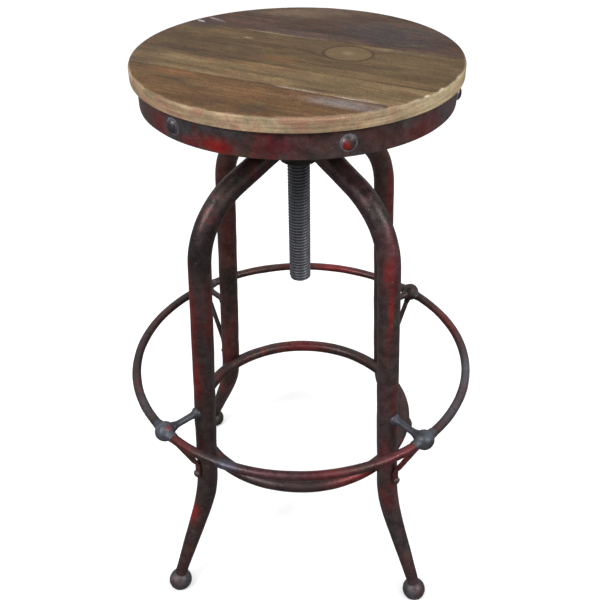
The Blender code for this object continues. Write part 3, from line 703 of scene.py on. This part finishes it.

# Marks on the boards: place, half length and half width in mm, turn, colour, strength
# Painted shade: darkens the left end of every board
LEFT_END_PAINTED_SHADE = (-172, 40, 48, 120, 0.0, tint(84, 68, 54), 0.55)
# Stains on each board, front to back
BLOTS = (
    # Front board
    (
        (-29, -160, 22, 12, 0.0, UMBER, 0.7),
        (-74, -146, 20, 10, 0.2, UMBER, 0.6),
        (-115, -86, 30, 10, GRAIN, UMBER, 0.6),
        (-20, -126, 60, 20, GRAIN, ORANGE, 0.25),
        (-3, -134, 34, 10, GRAIN, UMBER, 0.35),
        (-158, 0, 30, 14, GRAIN, tint(92, 70, 46), 0.6),
        (-120, -62, 40, 12, GRAIN, ORANGE, 0.5),
        (54, -146, 50, 12, JOINT, tint(132, 124, 124), 0.65),
    ),
    # Second board
    (
        (-102, -9, 80, 9, GRAIN, UMBER, 0.75),
        (-33, -95, 52, 5.5, JOINT, tint(62, 46, 34), 0.9),
        (30, -112, 40, 4, GRAIN, UMBER, 0.5),
        (10, -111, 30, 2.2, GRAIN, tint(168, 158, 154), 0.45),
        (52, -130, 12, 1.8, JOINT, WORN_WHITE, 0.4),
        (66, -136, 22, 6, GRAIN, PALE_RUB, 0.5),
        (136, -90, 16, 11, 0.4, UMBER, 0.8),
        (-20, -40, 60, 20, GRAIN, ORANGE, 0.2),
        (-156, 14, 34, 16, GRAIN, tint(100, 80, 54), 0.6),
        (-12, -27, 50, 14, GRAIN, tint(104, 84, 56), 0.5),
    ),
    # Wide middle board
    (
        (-108, 108, 34, 22, 0.3, PURPLE, 0.85),
        (-128, 12, 60, 7, GRAIN, UMBER, 0.7),
        (-66, -18, 40, 6, GRAIN, UMBER, 0.6),
        (-20, -20, 24, 10, GRAIN, ORANGE, 0.3),
        (-58, 50, 7, 2, GRAIN, tint(176, 164, 140), 0.7),
        (-121, 113, 7, 3, -0.7, WORN_WHITE, 1.0),
        (0, -2, 20, 9, GRAIN, UMBER, 0.35),
        (-16, 61, 55, 2.2, JOINT, PALE_RUB, 0.65),
        (106, 6, 50, 6, JOINT, tint(124, 112, 88), 0.5),
        (70, -70, 100, 12, GRAIN, tint(112, 90, 62), 0.6),
    ),
    # Back board
    (
        (-110, 112, 34, 20, 0.3, PURPLE, 0.85),
        (-24, 84, 120, 18, GRAIN, tint(66, 50, 42), 0.75),
        (112, 28, 60, 12, GRAIN, tint(58, 46, 48), 0.6),
        (-121, 113, 7, 3, -0.7, WORN_WHITE, 1.0),
        (-102, 118, 17, 2.9, -0.75, WORN_WHITE, 1.0),
        (103, 66, 80, 45, GRAIN, BLUE_BLACK, 0.8),
        (-70, 104, 70, 20, GRAIN, tint(84, 62, 54), 0.8),
        (10, 60, 70, 14, GRAIN, tint(88, 70, 64), 0.8),
        (4, 152, 75, 22, 0.0, tint(126, 106, 88), 0.6),
    ),
)


def make_boards():
    """Four boards, front to back, each with its own wood."""
    tones = (
        (tint(82, 58, 35), tint(102, 75, 48), tint(120, 92, 62)),
        (tint(95, 75, 50), tint(121, 99, 69), tint(138, 115, 84)),
        (tint(70, 53, 35), tint(91, 72, 48), tint(109, 88, 62)),
        (tint(58, 42, 34), tint(76, 57, 46), tint(93, 73, 59)),
    )
    slots = ("brown_plank", "olive_plank", "tan_plank", "grey_plank")
    edges = (None, *PLANK_JOINTS, None)
    for k, slot in enumerate(slots):
        look = wood(f"{slot}_wood", *tones[k], BLOTS[k], 3.0 + k, has_knot=slot == "tan_plank")
        node = f"seat_plank_{k + 1}"
        mesh = board_mesh(edges[k], edges[k + 1])
        show(f"seat_board_{k + 1}", mesh, look, "seat", slot, node)


# -------- band and rivets

def rivet_angle(k):
    return SEAT_START + k * 2 * pi / RIVETS


def rivet_distance(angle, z):
    """Distance over the band's face from the nearest rivet."""
    step = 2 * pi / RIVETS
    off = (angle - SEAT_START + step / 2) % step - step / 2
    return hypot(off * BAND_RADIUS, z - RIVET_Z)


# Red on the band: degrees round it, height over its lower edge, half width and half height in mm,
# colour, strength
BAND_STAINS = (
    (247, 7, 20, 10, tint(170, 30, 24), 0.85),
    (221, 8, 18, 12, OXBLOOD, 0.7),
    (236, 5, 16, 8, OXBLOOD, 0.7),
    (268, 14, 16, 10, tint(112, 34, 48), 0.65),
    (318, 9, 35, 14, OXBLOOD, 0.55),
    (30, 12, 30, 12, OXBLOOD, 0.6),
    (95, 12, 40, 12, SIGNAL_RED, 0.5),
    (160, 12, 30, 12, OXBLOOD, 0.6),
)


def band_look():
    """Dark band with a pale ring round each rivet, rubbed paint and painted highlight on the raised rim,
    and a few places of strong red.
    """
    patches = []
    for degrees, rise, wide, tall, *paint in BAND_STAINS:
        at = polar(radians(degrees), BAND_RADIUS, BAND_LOW + rise * MM)
        patches.append(patch(at, wide, wide, tall, *paint))
    rivets = [tuple(polar(rivet_angle(k), BAND_RADIUS, RIVET_Z)) for k in range(RIVETS)]
    patches += [patch(at, 18, 18, 12, GUNMETAL, 0.8) for at in rivets]
    rings = [(at, RIVET_RIM, 1.0) for at in rivets]
    return steel("band_steel", GUNMETAL, BROWN, 0.42, 1.0, patches, rings)


def make_band():
    """The band, with eased edges, slight dents and a raised rim round each rivet."""
    ease = 0.7 * MM
    steps = 12
    inner = BAND_RADIUS - BAND_WALL
    span = BAND_TOP - BAND_LOW - 2 * ease
    profile = [
        (inner, BAND_LOW + ease), (inner + ease, BAND_LOW), (BAND_RADIUS - ease, BAND_LOW),
        *[(BAND_RADIUS, BAND_LOW + ease + span * i / steps) for i in range(steps + 1)],
        (BAND_RADIUS - ease, BAND_TOP), (inner + ease, BAND_TOP), (inner, BAND_TOP - ease),
    ]

    def wave(t, r, z):
        dent = 0.35 * MM * uneven(polar(t, r, z), 40 * MM, 4.0)
        lip = 0.5 * MM * exp(-((rivet_distance(t, z) - RIVET_RIM) / (1.6 * MM)) ** 2)
        return dent - 0.2 * MM + (lip if r > BAND_RADIUS - 2 * ease else 0.0)

    mesh = turned(profile, 480, closed=True, wave=wave)
    show("seat_band", mesh, band_look(), "seat", "red_patina_steel", "apron_band")


def dome(head, rise, seat):
    """A domed head as (radius, height) points, from its back face to its crown."""
    steps = 7
    turns = [i / steps * pi / 2 for i in range(1, steps)]
    curve = [(head * cos(t), rise * sin(t)) for t in turns]
    return [(0.3 * head, -seat), (head, -seat), (head, 0.0), *curve, (0.06 * head, rise)]


def rivet_looks():
    """Bare rivet steel, and the same with a daub of bright red. Both have a pale ring at the edge:
    rubbed paint and a painted highlight.
    """
    face = BAND_RADIUS + 1.5 * MM
    rings, daubs = [], []
    for k in range(RIVETS):
        rings.append((tuple(polar(rivet_angle(k), face, RIVET_Z)), RIVET_HEAD, 0.9))
        beside = polar(rivet_angle(k) - radians(1.0), face, RIVET_Z - 2 * MM)
        daubs.append(patch(beside, 5.5, 5.5, 5.5, SIGNAL_RED, 0.95))
    bare = steel("rivet_steel", tint(66, 64, 72), tint(74, 62, 66), 0.25, 2.0, rings=rings)
    red = steel("rivet_red", GUNMETAL, SOOT, 0.1, 2.5, daubs, rings)
    return bare, red


def make_band_rivets():
    bare, red = rivet_looks()
    for k in range(RIVETS):

        def wave(t, r, z):
            return 0.04 * r * sin(3 * t + k)

        mesh = turned(dome(RIVET_HEAD, RIVET_DOME, 0.8 * MM), 40, wave=wave)
        placed(mesh, polar(rivet_angle(k), BAND_RADIUS + 0.2 * MM, RIVET_Z), out_at(rivet_angle(k)))
        look = red if k in RED_RIVETS else bare
        show(f"band_rivet_{k + 1}", mesh, look, "seat", "red_patina_steel", f"apron_rivet_{k + 1}")


# -------- screw and hub

def screw_mesh():
    """Threaded rod: the ridge winds up it, and its lower end is rounded."""
    sides = 40
    reach = ceil((THREAD_TOP - SCREW_LOW) / (PITCH / 10))
    rings = []
    for k in range(reach + 1):
        z = SCREW_LOW + (THREAD_TOP - SCREW_LOW) * k / reach
        tip = min(1.0, (z - SCREW_LOW) / TIP_ROUND)
        round_off = sqrt(1 - (1 - tip) ** 2)
        ring = []
        for t in circle(sides):
            phase = (z / PITCH - t / (2 * pi)) % 1.0
            crest = max(0.0, 1 - abs(2 * phase - 1) * 1.15) ** 0.8
            r = SCREW_MINOR + (SCREW_MAJOR - SCREW_MINOR) * crest * min(1.0, 0.3 + tip)
            r = (r - TIP_CORE) * (0.35 + 0.65 * round_off) + TIP_CORE
            ring.append((r * cos(t), r * sin(t), z))
        rings.append(ring)
    return loft(rings, sharp=80)


def screw_look():
    """Bare steel, bright on the thread's crests and dark between them."""
    look = Look("screw_steel", 0.45)
    mottle = look.noise(look.here, 90.0, 6.0, 0.65)
    speck = look.noise(look.here, 600.0, 3.0)
    crest = look.fade(look.reach(), SCREW_MINOR + 0.4 * MM, SCREW_MAJOR)
    colour = look.mix(crest, tint(68, 66, 69), tint(126, 130, 140))
    colour = look.lay(colour, tint(66, 58, 56), mottle, 0.5, 0.7, 0.5)
    colour = look.shade(colour, look.vary(speck, 0.8, 1.2))
    look.bump((mottle, 0.4 * MM), (speck, 0.08 * MM))
    return look.done(colour, look.vary(mottle, 0.32, 0.48))


def weld(centre, axis, radius, thick, seed):
    """A rippled weld bead round a joint."""
    rings, steps, sides, ripples = [], 96, 12, 22
    for t in circle(steps):
        out = out_at(t)
        fat = thick * (1 + 0.16 * sin(ripples * t) + 0.25 * uneven(out * radius, 9 * MM, seed))
        middle = out * radius
        rings.append([middle + out * fat * cos(a) + UP * fat * sin(a) for a in circle(sides)])
    return placed(loft(rings, closed=True), centre, axis)


def make_hub(look):
    """Turned hub with a round nose below, and a weld where each leg goes in."""
    nose = [(20, 0), (21.4, 0.8), (22, 3), (22, 8), (22.6, 9.6), (26.6, 12.8)]
    profile = [
        (NUT_RADIUS, HUB_LOW + MM), (NUT_RADIUS + MM, HUB_LOW),
        *[(r * MM, HUB_LOW + z * MM) for r, z in nose],
        (HUB_RADIUS, HUB_LOW + 15 * MM), (HUB_RADIUS, HUB_TOP - 3 * MM),
        (HUB_RADIUS - 0.9 * MM, HUB_TOP - 0.9 * MM), (HUB_RADIUS - 3 * MM, HUB_TOP),
        (NUT_RADIUS + MM, HUB_TOP), (NUT_RADIUS, HUB_TOP - MM),
    ]

    def wave(t, r, z):
        return 0.25 * MM * uneven(polar(t, r, z), 9 * MM, 6.0) - 0.1 * MM

    mesh = turned(profile, 96, closed=True, wave=wave)
    show("leg_hub", mesh, look, "frame", "red_patina_steel", "hub")
    slope = (Vector(LEG_SHOULDER) - Vector(LEG_START)).normalized()
    for k, angle in enumerate(LEG_ANGLES):
        axis = polar(angle, *slope)
        centre = polar(angle, *LEG_START) + axis * 8.5 * MM
        bead = weld(centre, axis, LEG_RADIUS + 0.3 * MM, 2.2 * MM, k)
        show(f"hub_weld_{k + 1}", bead, look, "frame", "red_patina_steel")


# -------- legs and feet

def leg_thickness(z):
    share = (LEG_KNEE[1] - z) / (LEG_KNEE[1] - LEG_END[1])
    return LEG_RADIUS + (LEG_TIP_RADIUS - LEG_RADIUS) * max(0.0, share)


# Worn places on each leg, and painted shade on the front legs' arches under the seat: height, degrees it
# faces, reach from the leg's line, half width and half height in mm, colour, strength
LEG_MARKS_AND_PAINTED_SHADE = (
    # Back right, back left
    ((500, 330, 13, 12, 75, OXBLOOD, 0.6),),
    ((440, 270, 13, 12, 75, OXBLOOD, 0.3),),
    # Front left
    (
        # Painted shade: the arch under the seat is darkened
        (535, 225, 13, 50, 60, tint(46, 41, 41), 0.85),
        (430, 200, 13, 11, 70, tint(160, 32, 30), 0.75),
        (345, 220, 13, 11, 42, tint(150, 32, 32), 0.7),
        (230, 235, 13, 10, 30, tint(120, 34, 34), 0.35),
        (118, 205, 23, 14, 24, SIGNAL_RED, 0.75),
        (60, 240, 50, 20, 45, tint(90, 50, 52), 0.5),
    ),
    # Front right
    (
        # Painted shade: the arch under the seat is darkened
        (565, 300, 13, 60, 40, tint(42, 35, 34), 0.9),
        (550, 310, 13, 16, 26, tint(112, 48, 56), 0.55),
        (505, 285, 13, 14, 55, tint(112, 50, 58), 0.6),
        (500, 270, 13, 8, 22, tint(176, 44, 34), 0.45),
        (446, 281, 13, 3.6, 42, tint(188, 38, 30), 0.55),
        (405, 270, 13, 6, 30, OXBLOOD, 0.25),
        (230, 252, 13, 9, 30, OXBLOOD, 0.5),
        (150, 262, 22, 10, 22, OXBLOOD, 0.45),
        (105, 300, 25, 30, 40, tint(62, 54, 56), 0.6),
        (55, 290, 50, 26, 30, tint(96, 52, 54), 0.6),
    ),
)


def leg_patches(k):
    patches = []
    for height, way, reach, wide, tall, *paint in LEG_MARKS_AND_PAINTED_SHADE[k]:
        z = height * MM
        at = polar(LEG_ANGLES[k], leg_line(z), z) + out_at(radians(way)) * reach * MM
        patches.append(patch(at, wide, wide, tall, *paint))
    return patches


def leg_looks():
    """Each leg has its own worn red: back legs dull, the left front bright on its outer side."""
    tones = (
        # (ground, rust, share of paint, rubs)
        (tint(78, 66, 62), BROWN, 0.38, 0.25),
        (SOOT, BROWN, 0.38, 0.25),
        (tint(66, 60, 56), tint(76, 54, 54), 0.30, 0.4),
        (tint(76, 69, 65), tint(92, 66, 68), 0.34, 0.4),
    )
    return [steel(f"leg_steel_{k + 1}", *tone, 3.0 + k, leg_patches(k), rubs=rubs)
            for k, (*tone, rubs) in enumerate(tones)]


def make_legs(looks):
    shoulder = bend(LEG_START, LEG_SHOULDER, LEG_KNEE, SHOULDER_BEND, 26)
    knee = bend(LEG_SHOULDER, LEG_KNEE, LEG_END, KNEE_BEND, 12)
    line = spaced([LEG_START, *shoulder, *knee, LEG_END], 7 * MM)
    halves = [(leg_thickness(p.y), leg_thickness(p.y)) for p in line]
    for k, angle in enumerate(LEG_ANGLES):
        mesh = sweep(upright(line, angle), halves, side_at(angle), 40, 0.45 * MM, 26 * MM, 2.0 * k)
        show(f"leg_tube_{k + 1}", mesh, looks[k], "frame", "red_patina_steel", f"leg_{k + 1}")


def foot_look(k):
    """Worn steel with a rust-brown place on the outer side."""
    place = patch(polar(LEG_ANGLES[k], FOOT_REACH + 9 * MM, 14 * MM), 12, 12, 12, BROWN, 0.7)
    ground = SOOT if k < BACK_LEGS else tint(92, 96, 106)
    return steel(f"foot_steel_{k + 1}", ground, tint(80, 74, 78), 0.25, 8.0 + k, [place], paint=BROWN,
                 rough=DULL)


def make_feet():
    """Ball feet, flattened where they stand."""
    middle = FOOT_HIGH - FOOT_RADIUS
    steps = 12
    flat = [(3, 0.0), (9.6, 0.0), (11.2, 0.5), (13.4, 2.8), (14.9, 6)]
    profile = [(r * MM, z * MM) for r, z in flat]
    turns = [i / steps * radians(84) for i in range(steps + 1)]
    profile += [(FOOT_RADIUS * cos(t), middle + FOOT_RADIUS * sin(t)) for t in turns]
    for k, angle in enumerate(LEG_ANGLES):

        def wave(t, r, z):
            return 0.5 * MM * uneven(polar(t, r, z), 14 * MM, 11.0 + k) * min(1.0, z / MM)

        mesh = placed(turned(profile, 56, wave=wave), out_at(angle) * FOOT_REACH)
        show(f"ball_foot_{k + 1}", mesh, foot_look(k), "frame", "bare_worn_steel", f"foot_{k + 1}")


# -------- foot rings

# Worn places on the foot rings, and painted highlights on the outer ring's front: degrees round, half
# sizes in mm to the right and back, colour, strength
OUTER_STAINS_AND_HIGHLIGHTS = (
    (234, 26, 26, tint(124, 34, 40), 0.55),
    (304, 36, 36, tint(122, 46, 56), 0.6),
    (331, 36, 36, tint(92, 90, 98), 0.65),
    (212, 30, 30, tint(84, 80, 88), 0.55),
    # Lighter purple over the ring's front: its purple paint, lightened as a painted highlight
    (268, 60, 60, tint(96, 58, 66), 0.6),
    # Painted highlight: bluish, on the ring's front left
    (251, 16, 16, tint(84, 88, 104), 0.7),
    (282, 30, 30, OXBLOOD, 0.4),
    (20, 45, 45, OXBLOOD, 0.5),
    (80, 45, 45, OXBLOOD, 0.8),
    (352, 45, 45, BLUE_STEEL, 0.5),
)
INNER_STAINS = (
    (300, 45, 45, OXBLOOD, 0.7),
    (93, 45, 45, OXBLOOD, 0.6),
    (255, 100, 50, tint(72, 54, 56), 0.85),
)


def ring_patches(radius, z, stains):
    return [patch(polar(radians(degrees), radius, z), right, back, 20, *paint)
            for degrees, right, back, *paint in stains]


def make_rings():
    red = ring_patches(OUTER_RING, OUTER_Z, OUTER_STAINS_AND_HIGHLIGHTS)
    look = steel("outer_ring_steel", tint(56, 45, 43), tint(76, 52, 49), 0.30, 12.0, red)
    mesh = torus(OUTER_RING, OUTER_Z, OUTER_TUBE, 320, 24, 0.35 * MM, 1.0)
    show("outer_foot_ring", mesh, look, "frame", "dark_patina_steel", "outer_ring")
    red = ring_patches(INNER_RING, INNER_Z, INNER_STAINS)
    look = steel("inner_ring_steel", tint(52, 44, 43), tint(72, 51, 48), 0.38, 13.0, red)
    mesh = torus(INNER_RING, INNER_Z, INNER_TUBE, 256, 32, 0.35 * MM, 2.0)
    show("inner_foot_ring", mesh, look, "frame", "red_patina_steel", "inner_ring")


# -------- joints of the outer ring

def tab_points():
    """(r, z) points down the flat tab at the lower end of a brace."""
    off = LEG_RADIUS + TAB_HALF_THICK + 0.2 * MM
    heights = [INNER_Z + rise for rise in (15 * MM, 9 * MM, 3 * MM, -3 * MM, -TAB_TAIL)]
    return [(leg_line(z) + off, z) for z in heights]


def brace_way():
    """Unit (r, z) vector from a ball's centre down its brace."""
    tab = tab_points()[0]
    return (Vector(tab) - Vector((OUTER_RING, OUTER_Z))).normalized()


def ball_joint(angle):
    """A ball drawn out in a smooth web towards the ring, the strut and the brace."""
    centre = polar(angle, OUTER_RING, OUTER_Z)
    lean = BALL_RADIUS / OUTER_RING
    down = brace_way()
    arms = (
        (side_at(angle + lean), OUTER_TUBE * 1.10, 19 * MM),
        (-side_at(angle - lean), OUTER_TUBE * 1.10, 19 * MM),
        (-out_at(angle), STRUT_RADIUS * 1.12, 19 * MM),
        (polar(angle, *down), BRACE_RADIUS * 1.15, 18 * MM),
    )
    power = 7
    bm = bmesh.new()
    bmesh.ops.create_icosphere(bm, subdivisions=5, radius=1.0)
    for v in bm.verts:
        way = v.co.normalized()
        total = BALL_RADIUS**power
        for arm, tube, reach in arms:
            lined_up = way.dot(arm)
            if lined_up > 0:
                off = sqrt(max(1 - lined_up**2, 1e-8))
                total += min(tube / off, reach) ** power
        dent = 0.25 * MM * uneven(centre + way * BALL_RADIUS, 6 * MM, 3.0)
        v.co = centre + way * (total ** (1 / power) + dent)
    mesh = bpy.data.meshes.new("ball")
    bm.to_mesh(mesh)
    bm.free()
    mesh.shade_smooth()
    return mesh


def flare(distance, tube, foot, length):
    """Radius of a bar that widens to its foot at distance 0."""
    return tube + (foot - tube) * exp(-(distance / length) ** 1.4)


def ball_look(k):
    """Bare blue steel in front, with a red spot on the left ball. The back balls are dark."""
    name = f"ball_steel_{k + 1}"
    if k < BACK_LEGS:
        return steel(name, SOOT, GUNMETAL, 0.1, 30.0 + k)
    spot = polar(LEG_ANGLES[k], OUTER_RING, OUTER_Z + 10 * MM) + Vector((6 * MM, -4 * MM, 0))
    red_spot = patch(spot, 5, 5, 5, tint(140, 50, 44), 0.55)
    return bare_steel(name, 30.0 + k, [red_spot] if k == BACK_LEGS else ())


def make_strut(k, angle):
    """A level strut that widens to the leg at one end and to the ball at the other."""
    face = leg_line(OUTER_Z) + LEG_RADIUS
    ball = OUTER_RING - BALL_RADIUS
    start, end, parts = face - 2.5 * MM, ball + 3 * MM, 26
    spots = [start + (end - start) * i / parts for i in range(parts + 1)]
    halves = []
    for r in spots:
        at_leg = flare(max(r - face - 0.6 * MM, 0.0), STRUT_RADIUS, 7.6 * MM, 3.2 * MM)
        at_ball = flare(max(ball - r, 0.0), STRUT_RADIUS, 6.2 * MM, 3.5 * MM)
        wide = max(at_leg, at_ball)
        halves.append((wide, wide))
    path = [polar(angle, r, OUTER_Z) for r in spots]
    ground = SOOT if k < BACK_LEGS else tint(76, 78, 86)
    look = steel(f"strut_steel_{k + 1}", ground, tint(66, 64, 70), 0.18, 40.0 + k, rough=DULL)
    mesh = sweep(path, halves, side_at(angle), 28, 0.2 * MM, 9 * MM, k)
    show(f"strut_{k + 1}", mesh, look, "frame", "dark_patina_steel", f"upper_strut_{k + 1}")


def brace_halves(line):
    """Half width and half thickness down a brace: round, then flat over 12 mm, with a round tail."""
    halves = []
    for spot in line:
        share = min(max((INNER_Z + 26 * MM - spot.y) / (12 * MM), 0.0), 1.0)
        flat = share * share * (3 - 2 * share)
        wide = BRACE_RADIUS + (TAB_HALF_WIDTH - BRACE_RADIUS) * flat
        thick = BRACE_RADIUS + (TAB_HALF_THICK - BRACE_RADIUS) * flat
        tail = max(0.0, (INNER_Z - spot.y) / TAB_TAIL)
        halves.append((wide * sqrt(max(1 - tail**2, 0.06)), thick))
    return halves


def make_brace(k, angle, look):
    """A slanting brace from the ball to a flat tab on the leg."""
    top = Vector((OUTER_RING, OUTER_Z)) + brace_way() * (BALL_RADIUS - 2 * MM)
    line = spaced([top, *tab_points()], 2.4 * MM)
    halves = brace_halves(line)
    mesh = sweep(upright(line, angle), halves, side_at(angle), 28, 0.15 * MM, 8 * MM, 5.0 + k)
    show(f"brace_{k + 1}", mesh, look, "frame", "dark_patina_steel", f"lower_brace_{k + 1}")


def make_tab_rivet(k, angle, look):
    reach = leg_line(INNER_Z) + LEG_RADIUS + 2 * TAB_HALF_THICK + 0.4 * MM
    head = turned(dome(BRACE_RIVET_HEAD, BRACE_RIVET_DOME, 0.6 * MM), 36)
    placed(head, polar(angle, reach, INNER_Z), out_at(angle))
    show(f"tab_rivet_{k + 1}", head, look, "frame", "dark_patina_steel", f"brace_rivet_{k + 1}")


def make_joints():
    """Balls, level struts, slanting braces and the rivets that end them."""
    tones = (
        (SOOT, BROWN, 0.3),
        (SOOT, GUNMETAL, 0.4),
        (tint(104, 44, 46), BROWN, 0.5),
        (tint(112, 46, 48), BROWN, 0.5),
    )
    brace_looks = [steel(f"joint_steel_{k + 1}", *tone, 20.0 + k) for k, tone in enumerate(tones)]
    rivet_look = steel("tab_rivet_steel", BROWN, GUNMETAL, 0.3, 27.0, rough=DULL)
    for k, angle in enumerate(LEG_ANGLES):
        ball = ball_joint(angle)
        show(f"joint_ball_{k + 1}", ball, ball_look(k), "frame", "bare_worn_steel", f"ring_ball_{k + 1}")
        make_strut(k, angle)
        make_brace(k, angle, brace_looks[k])
        make_tab_rivet(k, angle, rivet_look)


# -------- under the seat

def washer_look():
    """Dull black plastic."""
    look = Look("black_washer", 0.0)
    grain = look.noise(look.here, 300.0, 4.0)
    look.bump((grain, 0.1 * MM))
    colour = look.shade(tint(34, 33, 32)[:3], look.vary(grain, 0.8, 1.2))
    return look.done(colour, look.vary(grain, 0.5, 0.7))


def repaint_hidden():
    """Plate, flange, nut, washer and pin keep their CAD shapes."""
    dark = steel("underside_steel", SOOT, GUNMETAL, 0.1, 50.0)
    plain = steel("nut_steel", GUNMETAL, BROWN, 0.15, 51.0)
    repaint("seat_spider", dark)
    repaint("seat_flange", dark)
    repaint("hub_nut", plain, 0.3 * MM)
    repaint("boss_pin", plain, 0.3 * MM)
    repaint("thrust_washer", washer_look(), 0.4 * MM)


def turned_at(node, profile, sides, **shape):
    """A turned piece, its profile in mm from the node's lowest point, on the node's own axis."""
    lo, hi = low(node), high(node)
    points = [(r * MM, z * MM) for r, z in profile]
    return placed(turned(points, sides, **shape), ((lo.x + hi.x) / 2, (lo.y + hi.y) / 2, lo.z))


def hexagon(t, r, z):
    """Draws a round head in to six flats."""
    if r < 3 * MM:
        return 0.0
    return r * (cos(pi / 6) / cos((t + pi / 6) % (pi / 3) - pi / 6) - 1)


def cross_slot(t, r, z):
    """Draws the middle of a screw's head in to a cross."""
    if r < 2 * MM and z < 1.6 * MM:
        return -0.62 * r * (1 - abs(cos(2 * t)) ** 3)
    return 0.0


def make_bolts(zinc):
    for k in range(BOLT_COUNT):
        node = f"flange_bolt_{k + 1}"
        tall = (high(node).z - low(node).z) / MM
        profile = [(1.6, 0.6), (3.2, 0.0), (4.4, 0.0), (4.9, 0.7), (4.9, 3.2), (2.8, 3.2), (2.8, tall)]
        bolt = turned_at(node, profile, 72, wave=hexagon, sharp=25)
        washer = [(3, 3.2), (6.4, 3.2), (6.6, 3.5), (6.6, 4.0), (3, 4.0)]
        ring = turned_at(node, washer, 40, closed=True)
        show(f"hex_bolt_{k + 1}", bolt, zinc, "seat", "zinc_fasteners", node)
        show(f"bolt_washer_{k + 1}", ring, zinc, "seat", "zinc_fasteners")


def make_wood_screws(zinc):
    for k in range(WOOD_SCREW_COUNT):
        node = f"wood_screw_{k + 1}"
        tall = (high(node).z - low(node).z) / MM
        profile = [
            (0.3, 1.5), (1.0, 1.3), (1.7, 0.12), (2.4, 0.2), (3.4, 0.9), (3.95, 1.9), (3.95, 2.6),
            (2.0, 2.6), (2.0, tall - 3), (0.5, tall),
        ]
        screw = turned_at(node, profile, 48, wave=cross_slot)
        show(f"pan_screw_{k + 1}", screw, zinc, "seat", "zinc_fasteners", node)


def make_underside():
    repaint_hidden()
    zinc = steel("zinc_fastener", tint(150, 148, 142), tint(120, 116, 108), 0.05, 52.0, paint=BROWN,
                 rubs=0.2, metallic=0.9)
    make_bolts(zinc)
    make_wood_screws(zinc)


# -------- studio

def make_floor():
    bm = bmesh.new()
    bmesh.ops.create_grid(bm, x_segments=1, y_segments=1, size=FLOOR_REACH)
    mesh = bpy.data.meshes.new("floor")
    bm.to_mesh(mesh)
    bm.free()
    floor = in_scene("floor", mesh)
    look = Look("floor_paint", 0.0)
    look.wire(look.shader, {"Emission Color": WHITE, "Emission Strength": FLOOR_GLOW})
    mesh.materials.append(look.done(tint(252, 252, 252), 0.9))
    floor.visible_diffuse = False
    floor.visible_glossy = False


def soft_light(name, at, power):
    data = bpy.data.lights.new(name, "AREA")
    data.size = LAMP_SIZE
    data.energy = power
    light = in_scene(name, data)
    light.location = at
    light.rotation_euler = (Vector(LAMP_AIM) - Vector(at)).to_track_quat("-Z", "Y").to_euler()


def make_studio():
    """A white room, bright overhead and dim low down, and soft lamps in front on the left and right."""
    world = bpy.data.worlds.new("studio")
    world.use_nodes = True
    bpy.context.scene.world = world
    nodes = Nodes(world.node_tree)
    way = nodes.add("TexCoord").outputs["Generated"]
    height = nodes.add("SeparateXYZ", way).outputs["Z"]
    room = nodes.add("Background", WHITE, nodes.fade(height, *ROOM_LEVEL))
    backdrop = nodes.add("Background", WHITE, 1.0)
    seen = nodes.add("LightPath").outputs["Is Camera Ray"]
    mix = nodes.add("MixShader", seen, room.outputs[0], backdrop.outputs[0])
    nodes.wire(nodes.tree.nodes["World Output"], {"Surface": mix.outputs[0]})
    soft_light("key_light", (-1.5, -1.5, 2.0), 29)
    soft_light("fill_light", (1.7, -1.2, 1.9), 22)
    bpy.context.scene.view_settings.view_transform = "Standard"


def make_camera():
    data = bpy.data.cameras.new("camera")
    data.lens = CAMERA_LENS
    data.sensor_width = 36
    data.shift_x, data.shift_y = CAMERA_SHIFT
    data.clip_start = 0.05
    camera = in_scene("camera", data)
    turn = Matrix.Rotation(CAMERA_HEADING, 4, "Z")
    tilt = Matrix.Rotation(pi / 2 - CAMERA_DOWN, 4, "X")
    roll = Matrix.Rotation(-CAMERA_ROLL, 4, "Z")
    camera.matrix_world = Matrix.Translation(CAMERA_AT) @ turn @ tilt @ roll
    bpy.context.scene.camera = camera


def make_all():
    make_boards()
    make_band()
    make_band_rivets()
    show("threaded_rod", screw_mesh(), screw_look(), "seat", "bare_worn_steel", "height_screw")
    make_hub(steel("hub_steel", tint(52, 46, 44), SOOT, 0.25, 7.0))
    make_legs(leg_looks())
    make_feet()
    make_rings()
    make_joints()
    make_underside()
    make_floor()
    make_studio()
    make_camera()


make_all()
